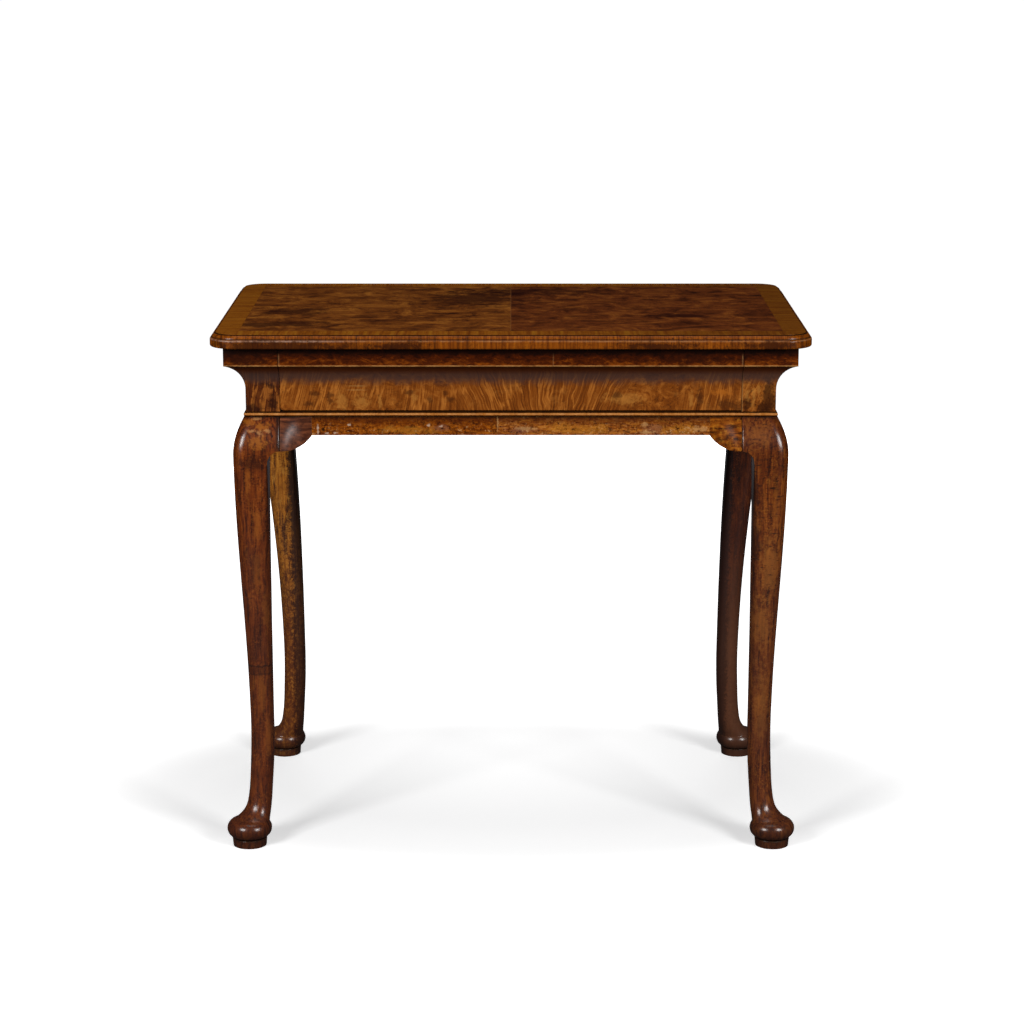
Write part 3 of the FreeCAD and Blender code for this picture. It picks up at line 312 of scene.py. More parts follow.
leg = dict(dark=srgb("#2c0e05"), streak_mm=(70, 3.5), rub=0.25, calm=1.1, coat=0.8, chip=0.5)
dress(waxed_walnut("waxed_walnut_leg_front_left", srgb("#8e4614"), srgb("#6a2c0a"), seed=1,
                   golden=srgb("#a05a1e"), worn=0.4, fleck=0.75, marks=left_leg_marks, **leg),
      "leg_front_left")
dress(waxed_walnut("waxed_walnut_leg_front_right", srgb("#94501a"), srgb("#682e0c"), seed=2,
                   golden=srgb("#a66422"), worn=0.4, fleck=0.7, marks=right_leg_marks, **leg),
      "leg_front_right")
dress(waxed_walnut("waxed_walnut_leg_back_left", srgb("#d4882e"), srgb("#b0681c"), seed=3,
                   golden=srgb("#d8943c"), fleck=0.6, marks=back_leg_marks(-328, 1, "#6c2e14"), **leg),
      "leg_back_left")
leg.update(dark=srgb("#1a0805"))
dress(waxed_walnut("waxed_walnut_leg_back_right", srgb("#5c280c"), srgb("#3e1606"), seed=4,
                   golden=srgb("#6e3812"), marks=back_leg_marks(326, -1, "#8a5a3c"), **leg),
      "leg_back_right")


# Knee brackets: eight ears of walnut, sawn to a curve, glued under the bead against the leg and the
# rail, and carved in place to run on from the knee. Those on the left have kept their dark varnish.
def bracket_marks(add, mm, laid, colour):
    """Painted shade under the bead, as on the legs."""
    return shade_under_bead(add, add("SeparateXYZ", {0: mm}).node.outputs["Z"], colour)


bracket = dict(streak_mm=(60, 4), along="x", rub=0.3, patch_mm=(9, 9, 9), marks=bracket_marks)
dress(waxed_walnut("waxed_walnut_bracket_dark", srgb("#8a4c2e"), srgb("#62341e"), srgb("#34140a"), seed=5,
                   rough=0.4, coat=0.4, gloss=0.32, calm=1.2, fleck=0.4, **bracket),
      "bracket_front_left", "bracket_left_front")
dress(waxed_walnut("waxed_walnut_bracket_golden", srgb("#a85c14"), srgb("#7c3c08"), srgb("#3c1804"), seed=6,
                   golden=srgb("#b8741e"), rough=0.6, coat=0.08, gloss=0.3, fleck=1.0, chip=0.7, **bracket),
      "bracket_front_right", "bracket_right_front")
dress(waxed_walnut("waxed_walnut_bracket_back", srgb("#94501c"), srgb("#6a3410"), srgb("#361606"), seed=7,
                   golden=srgb("#a0601c"), **bracket),
      "bracket_back_left", "bracket_back_right", "bracket_left_back", "bracket_right_back")


# Rail facings: thin lengths of mottled walnut glued on the rails between the brackets, the front one
# in two lengths. Knees and feet have knocked them: pale scuffs, dark specks and bruised lower edges.
def knocks(add, mm, laid, colour):
    """A darker head under the bead with painted shade, black, just under it, dark bruises, pale scuffs
    along the lower edge, and the front's own marks: chips at its left end, a violet scuff, a golden stretch
    and a dark chip by the middle."""
    axes = add("SeparateXYZ", {0: mm}).node.outputs
    stain = add("TexNoise", {"Vector": laid, "Scale": 1 / 18, "Detail": 6, "Roughness": 0.7})
    colour = spots(add, mm, stain, colour, "#c07c26", 0.4, ((95, -205, 578), (50, 30, 8)),
                   ((-130, -205, 577), (60, 30, 6)), ((215, -205, 579), (40, 30, 7)))
    colour = spots(add, mm, stain, colour, "#7a4a38", 0.6, ((14, -205, 576), (28, 30, 5)),
                   ((190, -205, 578), (16, 30, 8)), ((-92, -205, 579), (14, 30, 5)))
    ragged = add("Math", {0: stain, 1: 12, 2: axes["Z"]}, operation="MULTIPLY_ADD")
    head = add("MapRange", {"Value": ragged, 1: 588, 2: 597, 3: 0, 4: 0.7})
    colour = tint(add, head, colour, "#441804")
    # Painted shade: black along the top of the facing, just under the bead.
    under = add("MapRange", {"Value": axes["Z"], 1: 591.5, 2: 594.5, 3: 0, 4: 0.85})
    colour = tint(add, under, colour, "#1a0a04")
    fine = add("TexNoise", {"Vector": laid, "Scale": 1 / 5, "Detail": 6, "Roughness": 0.75})
    bruise = add("MapRange", {"Value": fine, 1: 0.55, 2: 0.63, 3: 0, 4: 0.9})
    colour = tint(add, bruise, colour, "#2a1006")
    low = add("MapRange", {"Value": axes["Z"], 1: 588, 2: 573, 3: 0.1, 4: 0.9})
    scuff = add("MapRange", {"Value": fine, 1: 0.42, 2: 0.34, 3: 0, 4: 1})
    scuffed = add("Math", {0: scuff, 1: low}, operation="MULTIPLY")
    colour = tint(add, scuffed, colour, "#c89a64")
    colour = spots(add, mm, fine, colour, "#ccb49c", 0.65, ((-256, -205, 578), (1.6, 30, 7)),
                   ((-245, -205, 572.5), (4, 30, 1.6)), ((-233, -205, 573), (4, 30, 1.6)),
                   ((-214, -205, 584), (3, 30, 1.5)), ((-93, -205, 582), (4, 30, 1.4)),
                   ((-109, -205, 583), (2.5, 30, 2)))
    colour = spots(add, mm, fine, colour, "#c89860", 0.5, ((20, -205, 579), (20, 30, 3)),
                   ((178, -205, 584), (6, 30, 4)), ((183, -205, 574), (14, 30, 3)),
                   ((250, -205, 578), (18, 30, 5)), ((-17.5, -205, 584), (1.2, 30, 12)))
    return spots(add, mm, fine, colour, "#160905", 0.9, ((55, -205, 570), (6, 30, 2)),
                 ((-249, -205, 578), (3, 30, 3)), ((-91, -205, 579), (4, 30, 1.5)))


facing = dict(pale=srgb("#ac5c0c"), mid=srgb("#803c06"), dark=srgb("#461a04"),
              golden=srgb("#b86a1c"), along="x", streak_mm=(12, 3), calm=1.2, wave_mm=12,
              patch_mm=(12, 12, 6), grime=0.5, worn=0.6, coat=0.12, fleck=0.9, chip=0.8, marks=knocks)
dress(waxed_walnut("waxed_walnut_facing_left", seed=8, **facing), "facing_front_left", "facing_left")
facing.update(pale=srgb("#c07624"), mid=srgb("#964e16"), golden=srgb("#c88644"))
dress(waxed_walnut("waxed_walnut_facing_right", seed=9, **facing), "facing_front_right", "facing_right")
dress(waxed_walnut("waxed_walnut_facing_back", seed=10, **facing), "facing_back")


# Bead: a half-round of walnut, cut across the grain in short lengths and glued round the frame under
# the frieze. Its crown has worn to a pale tan; its lower side and the quirks beside it carry painted shade.
def bead_crown(add, mm, laid, colour):
    """The pale, worn crown of the half-round, its lower side painted redder and darker as shade, and painted
    shade, black, in the quirks.
    """
    crown_mm, middle_mm = 599.0, 598.7
    level = add("SeparateXYZ", {0: mm}).node.outputs["Z"]
    # Painted shade: the lower side of the half-round, which faces down, is darker and redder.
    under = add("MapRange", {"Value": level, 1: 598.2, 2: 597.2, 3: 0, 4: 0.5})
    colour = tint(add, under, colour, "#6c2c08")
    rub = add("TexNoise", {"Vector": laid, "Scale": 1 / 14, "Detail": 5, "Roughness": 0.7})
    rub = add("MapRange", {"Value": rub, 1: 0.35, 2: 0.65, 3: 0.1, 4: 1})
    worn = line(add, level, crown_mm, 0.4, 1.0, 0.9)
    share = add("Math", {0: worn, 1: rub}, operation="MULTIPLY")
    colour = tint(add, share, colour, "#d4965a")
    # Painted shade: black in the quirks above and below the bead.
    away = add("Math", {0: level, 1: middle_mm}, operation="SUBTRACT")
    away = add("Math", {0: away}, operation="ABSOLUTE")
    quirk = add("MapRange", {"Value": away, 1: 1.3, 2: 2.1, 3: 0, 4: 0.92})
    return tint(add, quirk, colour, "#0a0403")


bead = dict(pale=srgb("#c8803a"), mid=srgb("#a8621e"), dark=srgb("#743a0a"), streak_mm=(30, 3.5),
            calm=1.6, pore=0.2, fleck=0.5, patch_mm=(40, 40, 40), rub=0, coat=0.2, marks=bead_crown)
dress(waxed_walnut("waxed_walnut_bead_along", along="yz", seed=11, **bead), "bead_front", "bead_back")
dress(waxed_walnut("waxed_walnut_bead_across", along="xz", seed=12, **bead), "bead_left", "bead_right")


# Frieze: an upright fascia over a deep hollow, built up in softwood and veneered with burr walnut, on
# the sides, the back and the two short returns. The drawer front carries it across the front.
def ribs(add, across, level, lines_mm):
    """Fine upright fibres, and thin pale lines among them. across is measured in mm over the fibres."""
    fine = add("Math", {0: across, 1: 1 / 2.0}, operation="MULTIPLY")
    slow = add("Math", {0: level, 1: 1 / 90}, operation="MULTIPLY")
    fibres = add("TexNoise", {"Vector": add("CombineXYZ", {"X": fine, "Y": slow}), "Scale": 1, "Detail": 4,
                              "Roughness": 0.62})
    broad = add("Math", {0: across, 1: 1 / lines_mm}, operation="MULTIPLY")
    drift = add("TexNoise", {"Vector": add("CombineXYZ", {"X": broad, "Y": slow}), "Scale": 1, "Detail": 2})
    pale = line(add, drift, 0.5, 0.006, 0.03, 0.16)
    tone = add("Mix", {0: 0.2, 2: fibres, 3: drift}, data_type="FLOAT")
    return add("Math", {0: tone, 1: pale}, operation="ADD")


def frieze_figure(run, burred=0.85):
    """Veneer whose grain stands nearly upright and leans one way and then the other, with clouds and
    clusters of small burr eyes. run is the axis along the piece, and burred is how much burr it has."""
    foot_mm = 600

    def figure(add, mm, laid, waved, grain):
        level = add("SeparateXYZ", {0: mm}).node.outputs["Z"]
        way = add("SeparateXYZ", {0: waved}).node.outputs[run]
        lean = add("TexNoise", {"W": way, "Scale": 1 / 260, "Detail": 1}, noise_dimensions="1D")
        slope = add("MapRange", {"Value": lean, 1: 0.3, 2: 0.7, 3: 0.05, 4: -0.4})
        rise = add("Math", {0: level, 1: foot_mm}, operation="SUBTRACT")
        across = add("Math", {0: slope, 1: rise, 2: way}, operation="MULTIPLY_ADD")
        upright = ribs(add, across, level, 14)
        swirl = add("TexNoise", {"Vector": waved, "Scale": 1 / 17, "Detail": 7, "Roughness": 0.7,
                                 "Distortion": 1.2})
        cluster = add("TexNoise", {"Vector": laid, "Scale": 1 / 60, "Detail": 2})
        burr = add("MapRange", {"Value": cluster, 1: 0.42, 2: 0.56, 3: 0.1 * burred, 4: burred})
        mixed = add("Mix", {0: burr, 2: upright, 3: swirl}, data_type="FLOAT")
        eyes = add("TexNoise", {"Vector": waved, "Scale": 1 / 6, "Detail": 3, "Roughness": 0.6,
                                "Distortion": 0.8})
        eyed = add("MapRange", {"Value": eyes, 1: 0.58, 2: 0.66, 3: 0, 4: 0.14})
        knots = add("MapRange", {"Value": cluster, 1: 0.5, 2: 0.58, 3: 0, 4: 1})
        dark = add("Math", {0: eyed, 1: knots}, operation="MULTIPLY")
        return add("Math", {0: mixed, 1: dark}, operation="SUBTRACT")
    return figure


def frieze_marks(add, mm, laid, colour):
    """Painted shade in the head of the hollow, with a painted grey sheen below it, the fascia's darker and
    redder veneer, darker towards the top, painted shadow under the top, the rubbed edge below the fascia,
    and the bare top edge."""
    arris_mm = 667.0
    level = add("SeparateXYZ", {0: mm}).node.outputs["Z"]
    rub = add("TexNoise", {"Vector": laid, "Scale": 1 / 16, "Detail": 6, "Roughness": 0.7})
    ragged = add("Math", {0: rub, 1: 20, 2: level}, operation="MULTIPLY_ADD")
    # Painted sheen: a grey-violet reflection in the upper part of the hollow, which also darkens it.
    hollow = add("MapRange", {"Value": ragged, 1: 645, 2: 659, 3: 0, 4: 0.82},
                 interpolation_type="SMOOTHSTEP")
    colour = tint(add, hollow, colour, "#48342e")
    # Painted shade: the head of the hollow, under the fascia, darker still.
    head = add("MapRange", {"Value": level, 1: 653, 2: 660, 3: 0, 4: 0.85})
    colour = tint(add, head, colour, "#502208")
    drawn = add("VectorMath", {0: laid, 1: (1 / 11, 1 / 11, 1 / 5)}, operation="MULTIPLY")
    cloud = add("TexNoise", {"Vector": drawn, "Scale": 1, "Detail": 7, "Roughness": 0.76, "Distortion": 0.4})
    fall = add("MapRange", {"Value": level, 1: 682, 2: 668, 3: -0.12, 4: 0.07})
    cloud = add("Math", {0: cloud, 1: fall}, operation="ADD")
    reds = [(0.3, srgb("#1e0702")), (0.5, srgb("#4a1a02")), (0.7, srgb("#8c4408"))]
    red = add("ValToRGB", {"Fac": cloud}, reds)
    upper = add("MapRange", {"Value": level, 1: arris_mm - 0.4, 2: arris_mm + 0.4, 3: 0, 4: 1})
    colour = add("Mix", {0: upper, 6: colour, 7: red}, data_type="RGBA")
    bare = add("MapRange", {"Value": rub, 1: 0.4, 2: 0.56, 3: 0.4, 4: 1})
    edge = add("Math", {0: line(add, level, arris_mm, 0.9, 0.9, 1), 1: bare}, operation="MULTIPLY")
    colour = tint(add, edge, colour, "#b07c46")
    # Painted shadow: near black on the top of the fascia, under the overhang of the top.
    shadow_under_top = add("MapRange", {"Value": level, 1: 680, 2: 686, 3: 0, 4: 0.82},
               interpolation_type="SMOOTHSTEP")
    colour = tint(add, shadow_under_top, colour, "#140805")
    # On faces that look up, the painted shadow gives way to brown.
    face = add("SeparateXYZ", {0: add("NewGeometry").node.outputs["Normal"]}).node.outputs["Z"]
    above = add("MapRange", {"Value": face, 1: 0.7, 2: 0.9, 3: 0, 4: 1})
    top_edge = add("Math", {0: above, 1: shadow_under_top}, operation="MULTIPLY")
    return tint(add, top_edge, colour, "#6a4424")


def return_left_marks(add, mm, laid, colour):
    """The left return's dark foot and dark fascia, with the marks of the frieze."""
    ragged = add("TexNoise", {"Vector": laid, "Scale": 1 / 10, "Detail": 5, "Roughness": 0.7})
    colour = spots(add, mm, ragged, colour, "#240e08", 0.75, ((-340, -197, 606), (14, 60, 8)),
                   ((-314, -197, 612), (8, 60, 14)), ((-320, -197, 638), (14, 60, 6)))
    colour = frieze_marks(add, mm, laid, colour)
    return spots(add, mm, ragged, colour, "#200a04", 0.6, ((-352, -215, 676), (34, 60, 12)))


def return_right_marks(add, mm, laid, colour):
    """The right return's dark outer end and the rubbed edge by the drawer, over the frieze's marks."""
    ragged = add("TexNoise", {"Vector": laid, "Scale": 1 / 10, "Detail": 5, "Roughness": 0.7})
    colour = spots(add, mm, ragged, colour, "#2c1206", 0.75, ((342, -197, 620), (11, 60, 40)),
                   ((332, -197, 606), (10, 60, 10)), ((312, -197, 610), (6, 60, 14)))
    colour = spots(add, mm, ragged, colour, "#b87a34", 0.5, ((321.5, -197, 622), (3, 60, 16)),
                   ((328, -197, 630), (2.5, 60, 9)), ((312, -197, 626), (5, 60, 8)))
    across = add("SeparateXYZ", {0: mm}).node.outputs["X"]
    colour = tint(add, line(add, across, 306.4, 0.4, 0.7, 0.4), colour, "#b88850")
    return frieze_marks(add, mm, laid, colour)


frieze = dict(pale=srgb("#b06a28"), mid=srgb("#804210"), dark=srgb("#542608"), wave_mm=6,
              patch_mm=(24, 24, 20), calm=1.15, grime=0.35, golden=srgb("#b07030"), worn=0.3, rub=0,
              pore=0.1, fleck=0.4, coat=0.12)
dress(waxed_walnut("burr_walnut_frieze_sides", seed=14, figure=frieze_figure("Y"),
                   marks=frieze_marks, **frieze), "frieze_left", "frieze_right")
dress(waxed_walnut("burr_walnut_frieze_back", seed=22, figure=frieze_figure("X"),
                   marks=frieze_marks, **frieze), "frieze_back")
flecked = dict(frieze, fleck=0.9, chip=0.4)
dress(waxed_walnut("burr_walnut_frieze_return_right", seed=13, figure=frieze_figure("X"),
                   marks=return_right_marks, **flecked), "frieze_return_right")
dim = dict(frieze, pale=srgb("#a05e24"), mid=srgb("#54260c"), dark=srgb("#34140a"), golden=None)
dress(waxed_walnut("burr_walnut_frieze_return_left", seed=23, figure=frieze_figure("X", 0.2),
                   marks=return_left_marks, **dim), "frieze_return_left")


# Drawer: a front cut from the run of the frieze, oak sides dovetailed to it and to the back, and a
# thin oak bottom slid into grooves and nailed up under the back.
def fan_figure(add, mm, laid, waved, grain):
    """Burr at both ends of the drawer front, and between them grain that fans out from below, from the
    point where its lines would meet."""
    meet_x, meet_z, spread = 48, 415, 200
    burr = frieze_figure("X")(add, mm, laid, waved, grain)
    axes = add("SeparateXYZ", {0: mm}).node.outputs
    ripple = add("TexNoise", {"Vector": laid, "Scale": 1 / 40, "Detail": 2})
    run = add("Math", {0: ripple, 1: 16, 2: axes["X"]}, operation="MULTIPLY_ADD")
    run = add("Math", {0: run, 1: meet_x}, operation="SUBTRACT")
    rise = add("Math", {0: axes["Z"], 1: meet_z}, operation="SUBTRACT")
    turn = add("Math", {0: run, 1: rise}, operation="DIVIDE")
    across = add("Math", {0: turn, 1: spread}, operation="MULTIPLY")
    fan = ribs(add, across, axes["Z"], 12)
    fan = add("Math", {0: fan, 1: 0.03}, operation="SUBTRACT")
    offset = add("Math", {0: axes["X"], 1: 40}, operation="SUBTRACT")
    offset = add("Math", {0: offset}, operation="ABSOLUTE")
    middle = add("MapRange", {"Value": offset, 1: 135, 2: 80, 3: 0, 4: 0.95},
                 interpolation_type="SMOOTHSTEP")
    return add("Mix", {0: middle, 2: burr, 3: fan}, data_type="FLOAT")


def drawer_front_marks(add, mm, laid, colour):
    """With the frieze's marks: burr eyes and pale lobes on the left half, two scratches, a dark and an
    orange patch at the right end, which is darker on the fascia too, rubbed upright edges on the fascia,
    a joint in its veneer, a chip at the lower left corner, and the bare wood of the inner face."""
    ragged = add("TexNoise", {"Vector": laid, "Scale": 1 / 7, "Detail": 6, "Roughness": 0.75})
    colour = spots(add, mm, ragged, colour, "#b87a34", 0.5, ((-225, -205, 617), (10, 60, 15)),
                   ((-198, -205, 616), (13, 60, 11)), ((-173, -205, 616), (3, 60, 13)),
                   ((-128, -205, 622), (5, 60, 10)), ((151, -205, 619), (30, 60, 10)),
                   ((239, -205, 618), (3, 60, 14)))
    colour = spots(add, mm, ragged, colour, "#44200a", 0.7, ((288, -205, 610), (20, 60, 11)),
                   ((-260, -205, 626), (8, 60, 5)), ((-239, -205, 624), (7, 60, 5)),
                   ((-239, -205, 616), (6, 60, 4)), ((-268, -205, 612), (7, 60, 5)),
                   ((-134, -205, 628), (8, 60, 5)), ((-107, -205, 619), (5, 60, 6)),
                   ((-87, -205, 627), (5, 60, 4)), ((-80, -205, 617), (6, 60, 5)),
                   ((140, -205, 624), (8, 60, 6)), ((250, -205, 622), (6, 60, 14)))
    colour = spots(add, mm, 0.5, colour, "#b88a4c", 0.5, ((-204, -205, 631), (17, 60, 0.8)),
                   ((-204, -205, 636.5), (17, 60, 0.8)))
    colour = spots(add, mm, ragged, colour, "#b4661e", 0.6, ((279, -205, 628), (15, 60, 6)))
    colour = frieze_marks(add, mm, laid, colour)
    colour = spots(add, mm, ragged, colour, "#200a04", 0.4, ((235, -215, 677), (80, 60, 9)))
    axes = add("SeparateXYZ", {0: mm}).node.outputs
    upper = add("MapRange", {"Value": axes["Z"], 1: 667, 2: 668, 3: 0, 4: 1})
    # The rubbed stripes stop below the painted shadow under the top.
    below_top_shadow = add("MapRange", {"Value": axes["Z"], 1: 685, 2: 680, 3: 0, 4: 1})
    fascia = add("Math", {0: upper, 1: below_top_shadow}, operation="MULTIPLY")
    worn = add("MapRange", {"Value": ragged, 1: 0.4, 2: 0.6, 3: 0.2, 4: 1})
    fascia = add("Math", {0: fascia, 1: worn}, operation="MULTIPLY")
    for place, half, strength in ((-304, 0.5, 0.32), (303.8, 0.5, 0.4), (55.7, 0.3, 0.3)):
        stripe = line(add, axes["X"], place, half, 0.8, strength)
        share = add("Math", {0: stripe, 1: fascia}, operation="MULTIPLY")
        colour = tint(add, share, colour, "#b08050")
    colour = spots(add, mm, ragged, colour, "#0a0403", 0.95, ((-303, -200, 602), (5, 60, 5)))
    face = add("SeparateXYZ", {0: add("NewGeometry").node.outputs["Normal"]}).node.outputs["Y"]
    inner = add("MapRange", {"Value": face, 1: 0.7, 2: 0.9, 3: 0, 4: 0.8})
    return tint(add, inner, colour, "#8c6840")


dress(waxed_walnut("burr_walnut_drawer_front", seed=15, figure=fan_figure, marks=drawer_front_marks,
                   **frieze), "drawer_front")
dress(dry_wood("planed_oak_drawer_sides", "y", oak_pale, oak_mid, oak_dark, 2, 5),
      "drawer_side_left", "drawer_side_right")
dress(dry_wood("planed_oak_drawer_boards", "x", oak_pale, oak_mid, oak_dark, 2, 6),
      "drawer_back", "drawer_bottom")


# Drawer nails: cut iron nails driven up through the bottom into the drawer's back. A dull brown skin of
# rust covers the iron, with pits about 1 mm across.
rust, add = new_material("rusted_cut_iron")
place = add("TexCoord").node.outputs["Object"]
pits = add("TexNoise", {"Vector": place, "Scale": 900, "Detail": 4})
colour = add("ValToRGB", {"Fac": pits}, [(0.35, srgb("#1d1613")), (0.65, srgb("#4a2d1e"))])
height = add("Bump", {"Height": pits, "Strength": 0.4, "Distance": 0.0002})
iron = add("BsdfPrincipled", {"Base Color": colour, "Metallic": 0.6, "Roughness": 0.7, "Normal": height})
add("OutputMaterial", {"Surface": iron})
dress(rust, "drawer_bottom_nails")


# Edge mouldings: walnut laid across the grain in short lengths and worked with a scratch stock to a
# thumb over a nose, glued round the top. The short lengths differ in tone, and a painted highlight runs along
# the nose.
field_mm = (387.5, 233.5)
corner_mm = 28
nose_mm = 703.0


def edge_moulding(name, along, run, seed):
    """The moulding's material. run is the axis along it. field_mm is half the top inside the moulding,
    corner_mm the radius of the corners there and nose_mm the level of the nose."""
    def short_lengths(add, mm, laid, colour):
        """The tone of each short length and dark ticks between them, the dark stretches of the lower face,
        the nose painted pale as a highlight, whiter towards the left, and painted shade in the quirks above
        the nose and by the top."""
        axes = add("SeparateXYZ", {0: mm}).node.outputs
        way = add("SeparateXYZ", {0: laid}).node.outputs[run]
        lengths = add("TexVoronoi", {"W": way, "Scale": 1 / 45}, voronoi_dimensions="1D")
        each = add("SeparateColor", {0: lengths.node.outputs["Color"]})
        tone = add("MapRange", {"Value": each, 1: 0, 2: 1, 3: 0, 4: 0.35})
        colour = tint(add, tone, colour, "#4c1e04")
        tick = add("TexNoise", {"W": way, "Scale": 1 / 7, "Detail": 3, "Roughness": 0.7},
                   noise_dimensions="1D")
        ticked = add("MapRange", {"Value": tick, 1: 0.56, 2: 0.72, 3: 0, 4: 0.55})
        colour = tint(add, ticked, colour, "#260e04")
        rub = add("TexNoise", {"Vector": laid, "Scale": 1 / 12, "Detail": 7, "Roughness": 0.75})
        colour = spots(add, mm, rub, colour, "#341404", 0.85, ((-300, -240, 695), (150, 30, 11)),
                       ((-150, -240, 697), (40, 30, 7)), ((190, -240, 697), (70, 30, 7)),
                       ((335, -240, 697), (60, 30, 8)))
        bare = add("MapRange", {"Value": rub, 1: 0.4, 2: 0.6, 3: 0.1, 4: 0.9})
        # Painted highlight: a pale line along the nose, broken in places.
        nose = line(add, axes["Z"], nose_mm, 0.4, 0.7, 0.45)
        nose = add("Math", {0: nose, 1: bare}, operation="MULTIPLY")
        colour = tint(add, nose, colour, "#b08458")
        # Painted highlight: whiter on the nose towards the left end.
        left = add("MapRange", {"Value": axes["X"], 1: -190, 2: -260, 3: 0, 4: 0.5})
        left = add("Math", {0: left, 1: bare}, operation="MULTIPLY")
        nose_highlight = line(add, axes["Z"], nose_mm, 0.6, 0.8, 1)
        nose_highlight = add("Math", {0: nose_highlight, 1: left}, operation="MULTIPLY")
        colour = tint(add, nose_highlight, colour, "#a89890")
        # Painted shade: black in the crease above the nose and in the quirk along the top's field.
        crease = line(add, axes["Z"], nose_mm + 2, 0.4, 0.5, 0.75)
        corner = add("VectorMath", {0: mm}, operation="ABSOLUTE")
        straight = [half - corner_mm for half in field_mm] + [0]
        corner = add("VectorMath", {0: corner, 1: straight}, operation="SUBTRACT")
        corner = add("VectorMath", {0: corner, 1: (0, 0, 0)}, operation="MAXIMUM")
        corner = add("VectorMath", {0: corner, 1: (1, 1, 0)}, operation="MULTIPLY")
        side = add("VectorMath", {0: corner}, operation="LENGTH").node.outputs["Value"]
        quirk = add("MapRange", {"Value": side, 1: corner_mm + 2.2, 2: corner_mm + 1.2, 3: 0, 4: 0.9})
        black = add("Math", {0: crease, 1: quirk}, operation="MAXIMUM")
        return tint(add, black, colour, "#140804")
    return waxed_walnut(name, srgb("#a85c0e"), srgb("#884408"), srgb("#5c2804"), along=along,
                        streak_mm=(60, 2.4), calm=1.2, wave_mm=3, patch_mm=(40, 40, 40), grime=0.3,
                        pore=0.3, fleck=0.8, chip=0.3, coat=0.3, rub=0.2, seed=seed, marks=short_lengths)


dress(edge_moulding("waxed_walnut_edge_along", "yz", "X", 16), "edge_moulding_front", "edge_moulding_back")
dress(edge_moulding("waxed_walnut_edge_across", "xz", "Y", 17), "edge_moulding_left", "edge_moulding_right")


# Crossbands: strips of straight walnut veneer laid across the grain round the top and mitred at the
# corners, lighter than the field they frame.
def band_edge(add, mm, laid, colour):
    """The darker right half, and painted shade, black, in the quirk that the band's outer edge drops into."""
    axes = add("SeparateXYZ", {0: mm}).node.outputs
    cloud = add("TexNoise", {"Vector": laid, "Scale": 1 / 26, "Detail": 6, "Roughness": 0.7})
    uneven = add("Math", {0: cloud, 1: 240, 2: axes["X"]}, operation="MULTIPLY_ADD")
    right = add("MapRange", {"Value": uneven, 1: 140, 2: 420, 3: 0, 4: 0.42})
    colour = tint(add, right, colour, "#4a2408")
    # Painted shade: black where the band's edge drops into the quirk.
    low = add("MapRange", {"Value": axes["Z"], 1: 710.9, 2: 710.6, 3: 0, 4: 0.9})
    return tint(add, low, colour, "#140804")


crossband = dict(pale=srgb("#bc7a1e"), mid=srgb("#a25c12"), dark=srgb("#7c3e08"), streak_mm=(140, 5),
                 calm=1.4, wave_mm=4, patch_mm=(30, 30, 30), grime=0.5, rub=0, pore=0.25, fleck=0.5,
                 coat=0.12, marks=band_edge)
dress(waxed_walnut("walnut_veneer_crossband_front", along="y", seed=18, **crossband),
      "crossband_front", "crossband_back")
dress(waxed_walnut("walnut_veneer_crossband_side", along="x", seed=19, **crossband),
      "crossband_left", "crossband_right")


# Top veneer: two leaves of burr walnut, sawn thin and glued to the top board, that meet on a joint at
# the middle. The burr is dark and clouded under a dull wax.
def cloud_figure(add, mm, laid, waved, grain):
    """Burr drawn a little along the table, with streaks between its swirls."""
    drawn = add("VectorMath", {0: waved, 1: (1 / 52, 1 / 44, 1 / 44)}, operation="MULTIPLY")
    swirl = add("TexNoise", {"Vector": drawn, "Scale": 1, "Detail": 9, "Roughness": 0.74, "Distortion": 1.0})
    return add("Mix", {0: 0.25, 2: swirl, 3: grain}, data_type="FLOAT")


def leaf_marks(add, mm, laid, colour):
    """The dark clouds of the burr, and the hairline where the two leaves meet, filled with polish."""
    ragged = add("TexNoise", {"Vector": laid, "Scale": 1 / 28, "Detail": 6, "Roughness": 0.7})
    colour = spots(add, mm, ragged, colour, "#2e0c06", 0.75, ((-48, 75, 711), (90, 80, 40)),
                   ((-308, -150, 711), (85, 30, 40)), ((225, -75, 711), (65, 24, 40)),
                   ((40, 150, 711), (120, 40, 40)), ((-300, -40, 711), (50, 40, 40)))
    across = add("SeparateXYZ", {0: mm}).node.outputs["X"]
    return tint(add, line(add, across, 0, 0.4, 0.5, 0.5), colour, "#9a6034")


leaf = dict(along="x", streak_mm=(90, 9), calm=0.8, wave_mm=18, patch_mm=(45, 40, 40), grime=0.6,
            rub=0, pore=0.4, fleck=0.7, coat=0.12, figure=cloud_figure, marks=leaf_marks)
dress(waxed_walnut("burr_walnut_leaf_left", srgb("#be742a"), srgb("#8c4c18"), srgb("#4a200a"), seed=20,
                   **leaf), "veneer_left")
dress(waxed_walnut("burr_walnut_leaf_right", srgb("#ac6224"), srgb("#7a3c16"), srgb("#3c1708"), seed=21,
                   **leaf), "veneer_right")


# Floor: a plain white studio sweep that glows by itself (painted light), less in an oval round the
# table so that shadows show only under and beside it, with a painted patch of extra glow under its middle.
# It looks white but throws little light back on the wood. Sizes are in metres.
def from_middle(add, place, reach_x, reach_y, shift):
    """How far out a place lies in an oval on the floor: 1 on its edge. shift moves it along y, in reaches."""
    off = add("VectorMath", {0: place, 1: (1 / reach_x, 1 / reach_y, 0), 2: (0, shift, 0)},
              operation="MULTIPLY_ADD")
    return add("VectorMath", {0: off}, operation="LENGTH").node.outputs["Value"]


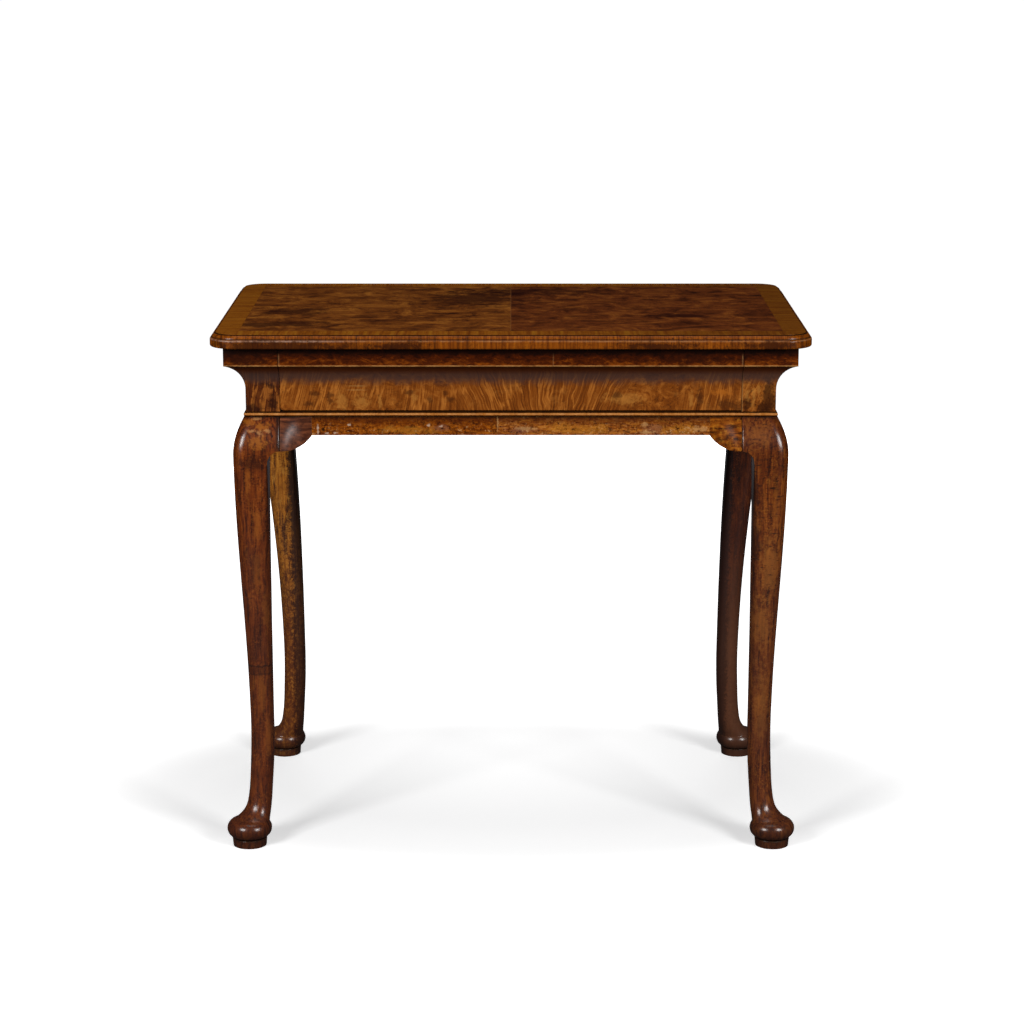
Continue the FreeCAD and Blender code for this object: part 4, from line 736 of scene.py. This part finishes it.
sweep, add = new_material("white_studio_sweep")
seen = add("LightPath").node.outputs["Is Camera Ray"]
matt = add("BsdfDiffuse", {"Color": srgb("#444446")})
lit = add("BsdfDiffuse", {"Color": srgb("#f0f0f0")})
place = add("TexCoord").node.outputs["Object"]
round_table = from_middle(add, place, 0.62, 0.36, -0.11)
# Painted light: the floor's own glow, weaker in an oval round the table and full white beyond.
floor_glow = add("MapRange", {"Value": round_table, 1: 0.75, 2: 1.3, 3: 0.43, 4: 1.0},
            interpolation_type="SMOOTHSTEP")
# Painted light: extra glow on the floor under the middle of the table.
under_table = from_middle(add, place, 0.42, 0.4, -0.68)
lift = add("MapRange", {"Value": under_table, 1: 1, 2: 0, 3: 0, 4: 0.25})
floor_glow = add("Math", {0: lift, 1: floor_glow}, operation="ADD")
glow = add("Emission", {"Color": srgb("#ffffff"), "Strength": floor_glow})
bright = add("AddShader", {0: lit, 1: glow})
add("OutputMaterial", {"Surface": add("MixShader", {0: seen, 1: matt, 2: bright})})
floor_mesh = bpy.data.meshes.new("studio_floor")
reach = 60
corners = [(-reach, -reach, 0), (reach, -reach, 0), (reach, reach, 0), (-reach, reach, 0)]
floor_mesh.from_pydata(corners, [], [(0, 1, 2, 3)])
floor_mesh.materials.append(sweep)
floor = bpy.data.objects.new("studio_floor", floor_mesh)
bpy.context.scene.collection.objects.link(floor)


# Light: two broad softboxes before the table, one on each side, a weak light over it, low fills
# behind that polish doesn't mirror, and a dim room that is white to the camera past the floor.
def softbox(name, place, aim, width, height, watts, mirrored=True):
    """An area light aimed at a point. mirrored is whether polish shows its reflection."""
    light = bpy.data.lights.new(name, "AREA")
    light.shape = "RECTANGLE"
    light.size = width
    light.size_y = height
    light.energy = watts
    lamp = bpy.data.objects.new(name, light)
    lamp.location = place
    way = Vector(aim) - Vector(place)
    lamp.rotation_euler = way.to_track_quat("-Z", "Y").to_euler()
    lamp.visible_glossy = mirrored
    bpy.context.scene.collection.objects.link(lamp)


softbox("softbox_left", (-1.62, -2.05, 1.4), (0, 0, 0.45), 0.8, 0.9, 41)
softbox("softbox_right", (1.62, -2.05, 1.4), (0, 0, 0.45), 0.8, 0.9, 41)
softbox("softbox_over", (0, -0.3, 2.6), (0, 0, 0.6), 1.4, 0.8, 7)
softbox("fill_back_left", (-0.6, 2.8, 0.5), (0, 0, 0.5), 1.0, 0.4, 16, mirrored=False)
softbox("fill_back_right", (0.6, 2.8, 0.5), (0, 0, 0.5), 1.0, 0.4, 16, mirrored=False)
world = bpy.data.worlds.new("studio_room")
world.use_nodes = True
world.node_tree.nodes.clear()
add = functools.partial(node, world.node_tree)
seen = add("LightPath").node.outputs["Is Camera Ray"]
dim_room = add("Background", {"Color": srgb("#c8ccd8"), "Strength": 0.03})
white = add("Background", {"Color": srgb("#ffffff"), "Strength": 1})
add("OutputWorld", {"Surface": add("MixShader", {0: seen, 1: dim_room, 2: white})})
bpy.context.scene.world = world
bpy.context.scene.view_settings.view_transform = "Standard"


# Camera: before the middle of the table and well above its top, looking a little down, with a long
# lens. Its place and tilt were fitted to the photo.
lens = bpy.data.cameras.new("camera")
lens.sensor_width = 36
lens.lens = 96.53
lens.clip_end = 200
camera = bpy.data.objects.new("camera", lens)
camera.location = (0.0016, -3.7726, 1.2859)
camera.rotation_euler = (math.radians(77.076), 0, 0)
bpy.context.scene.collection.objects.link(camera)
bpy.context.scene.camera = camera
